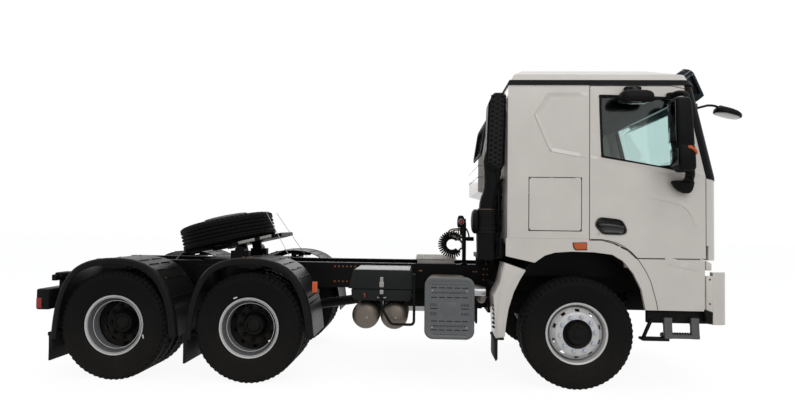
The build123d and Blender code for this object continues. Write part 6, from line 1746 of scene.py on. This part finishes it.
class TRUCK_OT_arches(bpy.types.Operator):
    """Black liners inside the front wheel arches, the step panels' returns, and the gear behind the cab"""

    bl_idname = "truck.arches"
    bl_label = "Arch liners"

    def execute(self, context):
        run = smooth_path([(x, 0.0, z) for x, z in ARCH_RUN], 5)[:, [0, 2]]
        over = run[run[:, 1] > 1.02]
        liner = swept(over, [(-1.19, 0.012), (-1.19, 0.004), (-0.76, 0.004), (-0.76, 0.012)])
        wall = prism([(x, z + 0.01) for x, z in over], -0.772, -0.76, 0.0)
        piece("arch_liners", both_sides(liner, wall), "black_plastic", "cab")
        turn_in = box((1.148, -1.226, 0.802), (1.179, -1.19, 1.262), 0.006)
        tab = prism([(1.184, 1.262), (1.235, 1.234), (1.235, 1.168), (1.184, 1.168)], -1.2345, -1.205,
                    0.006)
        piece("step_panel_returns", both_sides(turn_in, tab), "cab_paint", "cab")
        # pipes, cable trays and the engine's top behind the cab
        rear = [box((-0.79, -0.7, 1.14), (-0.712, 0.52, 1.56), 0.02),
                box((-0.76, -0.86, 1.5), (-0.712, 0.3, 1.96), 0.015),
                box((-0.742, -0.9, 1.9), (-0.706, -0.3, 2.08), 0.012)]
        for k, y in enumerate((-0.86, -0.79, -0.71, -0.6)):
            path = route([(-0.735, y, 2.02 - 0.05 * k), (-0.775, y + 0.02, 1.8), (-0.8, y - 0.02, 1.55),
                          (-0.79, y, 1.3), (-0.76, y + 0.03, 1.16)])
            rear.append(tube(path, 0.01 + 0.003 * (k % 2), 10))
        piece("rear_services", join(rear), "chassis_black", "chassis")
        return {"FINISHED"}


# ---------------------------------------------------------------- nose and inside of the cab
def front_skin():
    """Lookup of the cab's front surface: a function of (Y, Z) that gives a point proud of it."""
    trees = [skin_tree(node) for node in ("cab_trim", "cab_shell")]

    def point(y, z, proud=0.0):
        """Point at (Y, Z), ahead of the surface by proud."""
        hits = [tree.ray_cast(Vector((6.0, y, z)), Vector((-1.0, 0.0, 0.0)))[0] for tree in trees]
        return Vector((max(h.x for h in hits if h is not None) + proud, y, z))

    return point


def rectangle(half, low, high, wide, tall):
    """Closed run of (Y, Z) points: wide of them along the lower and upper edge, tall up each side."""
    run = [(y, low) for y in np.linspace(-half, half, wide)]
    run += [(half, z) for z in np.linspace(low, high, tall)[1:-1]]
    run += [(y, high) for y in np.linspace(half, -half, wide)]
    return run + [(-half, z) for z in np.linspace(high, low, tall)[1:-1]]


class TRUCK_OT_nose(bpy.types.Operator):
    """Grille bars, windscreen rubber, wipers and the blank number plate"""

    bl_idname = "truck.nose"
    bl_label = "Nose"

    def execute(self, context):
        point = front_skin()
        bars = []
        for z in np.linspace(1.395, 1.895, 7):
            bars.append(tube([tuple(point(y, z, 0.004)) for y in np.linspace(-0.775, 0.775, 25)], 0.013, 8))
        border = [tuple(point(y, z, 0.002)) for y, z in rectangle(0.802, 1.345, 1.945, 21, 7)]
        bars.append(tube(border, 0.012, 8, closed=True))
        piece("grille_bars", join(bars), "gloss_black", "cab")
        strip = tube([tuple(point(y, 2.0, 0.001)) for y in np.linspace(-0.84, 0.84, 25)], 0.004, 6)
        piece("nose_seam", strip, "dark", "cab")
        border = [tuple(point(y, z, -0.002)) for y, z in rectangle(1.108, 2.088, 2.868, 31, 15)]
        piece("screen_rubber", tube(border, 0.016, 8, closed=True), "rubber", "cab")
        wipers = []
        for pivot in (0.64, -0.1):
            base = point(pivot, 2.062, 0.018)
            tip = point(pivot - 0.3, 2.08, 0.045) + Vector((-0.01, 0.0, 0.11))
            wipers.append(tube(np.linspace(base, tip, 6), np.linspace(0.012, 0.007, 6), 8))
            wipers.append(moved(turned([(0.0, 0.001), (0.0, 0.02), (-0.02, 0.018), (-0.024, 0.001)], 16),
                                Matrix.Translation(base) @ Matrix.Rotation(math.pi / 2, 4, "Z")))
            blade = [tip + Vector((0.002 - 0.02 * (t / 0.31) ** 2, t, 0.045 * t))
                     for t in np.linspace(-0.31, 0.31, 13)]
            wipers.append(tube([tuple(p) for p in blade], 0.008, 8))
        piece("wipers", join(wipers), "black_plastic", "cab")
        piece("number_plate", box((1.443, -0.262, 0.872), (1.4495, 0.262, 0.985), 0.003), "white_mark",
              "chassis")
        piece("number_plate_frame", box((1.438, -0.272, 0.862), (1.446, 0.272, 0.995), 0.003),
              "black_plastic", "chassis")
        return {"FINISHED"}


class TRUCK_OT_inside(bpy.types.Operator):
    """Seats with head rests, bunk, dashboard and steering wheel"""

    bl_idname = "truck.inside"
    bl_label = "Inside"

    def execute(self, context):
        soft = []
        for y in (0.56, -0.56):
            soft.append(box((0.03, y - 0.26, 1.6), (0.55, y + 0.26, 1.728), 0.045, 4))
            soft += [box((0.06, y + s - 0.045, 1.7), (0.52, y + s + 0.045, 1.752), 0.024, 3)
                     for s in (-0.205, 0.205)]
            back = place(0.02, y, 2.0, (math.radians(-10), "Y"))
            soft.append(moved(block((0.12, 0.47, 0.66), 0.045, 4),
                              back @ Matrix.Translation((0.0, 0.0, -0.03))))
            soft += [moved(block((0.07, 0.09, 0.56), 0.032, 3),
                           back @ Matrix.Translation((0.045, s, -0.06))) for s in (-0.185, 0.185)]
            soft.append(moved(block((0.1, 0.27, 0.17), 0.04, 4),
                              back @ Matrix.Translation((0.01, 0.0, 0.29))))
            soft.append(box((0.1, y - 0.185, 1.452), (0.48, y + 0.185, 1.61), 0.02))
        soft.append(box((-0.608, -1.135, 1.752), (-0.232, 1.135, 1.888), 0.04, 4))
        soft.append(box((-0.588, -1.075, 1.452), (-0.252, 1.075, 1.752), 0.012))
        # lining darker than the cab's light-grey trim: painted reflection that darkens the windows' upper
        # part
        lining = [box((-0.6, -1.1, 2.9), (0.96, 1.1, 2.91), 0.003)]
        lining += [box((-0.6, side * 1.15, 2.79), (0.96, side * 1.16, 2.905), 0.003) for side in (-1, 1)]
        lining.append(box((0.7, -1.0, 2.8), (1.0, 1.0, 2.9), 0.02))
        piece("head_lining_painted_reflection", join(lining), "lining", "cab")
        piece("seat_cushions", join(soft), "seat_cloth", "cab", replaces=("seats",), slot="seat_fabric")
        panel = prism([(1.15, 1.452), (1.218, 1.452), (1.218, 2.02), (1.09, 2.028), (0.935, 2.018),
                       (0.862, 1.99), (0.812, 1.905), (0.905, 1.705), (1.1, 1.645)], -1.015, 1.015, 0.014)
        hood = prism([(0.86, 1.985), (0.905, 2.018), (1.06, 2.04), (1.12, 2.02), (1.06, 1.96)],
                     0.34, 0.79, 0.014)
        vents = [box((0.806, y - 0.09, 1.9), (0.86, y + 0.09, 1.955), 0.012)
                 for y in (-0.85, -0.45, 0.0, 0.93)]
        turn = place(0.7845, 0.56, 2.0543, (-0.585, "Y"))
        a = circle(48)
        ring = tube(np.stack([0.222 * np.cos(a), 0.222 * np.sin(a), 0 * a], axis=-1), 0.0155, 12,
                    closed=True)
        spokes = [moved(block((0.215, 0.042, 0.016), 0.007),
                        Matrix.Rotation(angle, 4, "Z") @ Matrix.Translation((0.112, 0, -0.008)))
                  for angle in (math.pi / 2, -math.pi / 2, math.pi)]
        boss = moved(block((0.15, 0.19, 0.05), 0.02, 3), Matrix.Translation((-0.01, 0, -0.004)))
        wheel = moved(join([ring, boss] + spokes), turn)
        column_tube = tube(placed([(0.9, 0.56, 1.88), (0.793, 0.56, 2.041)]), 0.034, 16)
        piece("dashboard_panel", join([panel, hood, wheel, column_tube] + vents), "dash", "cab",
              replaces=("dashboard",), slot="dash_plastic")
        dial = turned([(0.0, 0.001), (0.0, 0.052), (-0.006, 0.054), (-0.006, 0.05)], 28, ends=False)
        spots = [place(0.884, y, 1.99, (math.pi / 2, "Z")) for y in (0.49, 0.64)]
        piece("dials", copies(dial, spots), "lid_edge", "cab")
        return {"FINISHED"}


class TRUCK_OT_left_side(bpy.types.Operator):
    """Fuel tank with its straps, cap and step"""

    bl_idname = "truck.left_side"
    bl_label = "Left side"

    def execute(self, context):
        tank = moved(block((1.18, 0.64, 0.6), 0.105, 6), place(-1.56, 0.8, 0.77))
        feet = [box((x - 0.035, 0.432, 0.87), (x + 0.035, 0.52, 1.03), 0.006) for x in (-1.96, -1.16)]
        piece("fuel_tank_shell", join([tank] + feet), "tank_alloy", "chassis", replaces=("fuel_tank",),
              slot="tank_metal")
        straps = [moved(block((0.06, 0.648, 0.608), 0.108, 6), place(x, 0.8, 0.77)) for x in (-1.96, -1.16)]
        cap = moved(turned([(0.0, 0.001), (0.0, 0.062), (-0.022, 0.06), (-0.034, 0.05), (-0.036, 0.001)],
                           32), place(-1.1, 0.93, 1.064) @ Matrix.Rotation(-math.pi / 2, 4, "X"))
        step = [box((-1.8, 1.114, 0.6 + k * 0.22), (-1.32, 1.14, 0.628 + k * 0.22), 0.006)
                for k in range(2)]
        piece("fuel_tank_fittings", join(straps + [cap] + step), "chassis_black", "chassis")
        return {"FINISHED"}


# ---------------------------------------------------------------- add-on
OPERATORS = [
    TRUCK_OT_materials, TRUCK_OT_stage, TRUCK_OT_wheels, TRUCK_OT_cab, TRUCK_OT_mirrors, TRUCK_OT_front_top,
    TRUCK_OT_intake, TRUCK_OT_hose, TRUCK_OT_coupling, TRUCK_OT_mudguards, TRUCK_OT_side_gear,
    TRUCK_OT_low_front, TRUCK_OT_ties, TRUCK_OT_arches, TRUCK_OT_nose, TRUCK_OT_inside, TRUCK_OT_left_side]


class TRUCK_PT_panel(bpy.types.Panel):
    """Settings and steps of the truck dresser"""

    bl_idname = "TRUCK_PT_panel"
    bl_label = "Truck"
    bl_space_type = "VIEW_3D"
    bl_region_type = "UI"
    bl_category = "Truck"

    def draw(self, context):
        for group in (context.scene.truck_camera, context.scene.truck_paint, context.scene.truck_wheels):
            for name in group.__annotations__:
                self.layout.prop(group, name)
        for operator in OPERATORS:
            self.layout.operator(operator.bl_idname)


CLASSES = [TRUCK_PG_camera, TRUCK_PG_paint, TRUCK_PG_wheels, *OPERATORS, TRUCK_PT_panel]


def register():
    """Register the classes and the scene's settings."""
    for cls in CLASSES:
        bpy.utils.register_class(cls)
    bpy.types.Scene.truck_camera = PointerProperty(type=TRUCK_PG_camera)
    bpy.types.Scene.truck_paint = PointerProperty(type=TRUCK_PG_paint)
    bpy.types.Scene.truck_wheels = PointerProperty(type=TRUCK_PG_wheels)


def unregister():
    """Take away what register() added."""
    del bpy.types.Scene.truck_camera, bpy.types.Scene.truck_paint, bpy.types.Scene.truck_wheels
    for cls in reversed(CLASSES):
        bpy.utils.unregister_class(cls)


def main():
    """Dress the model."""
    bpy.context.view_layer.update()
    register()
    for operator in OPERATORS:
        group, name = operator.bl_idname.split(".")
        if getattr(getattr(bpy.ops, group), name)() != {"FINISHED"}:
            raise RuntimeError(f"{operator.bl_label} did not finish")
    bpy.context.view_layer.update()


if __name__ == "__main__":
    main()
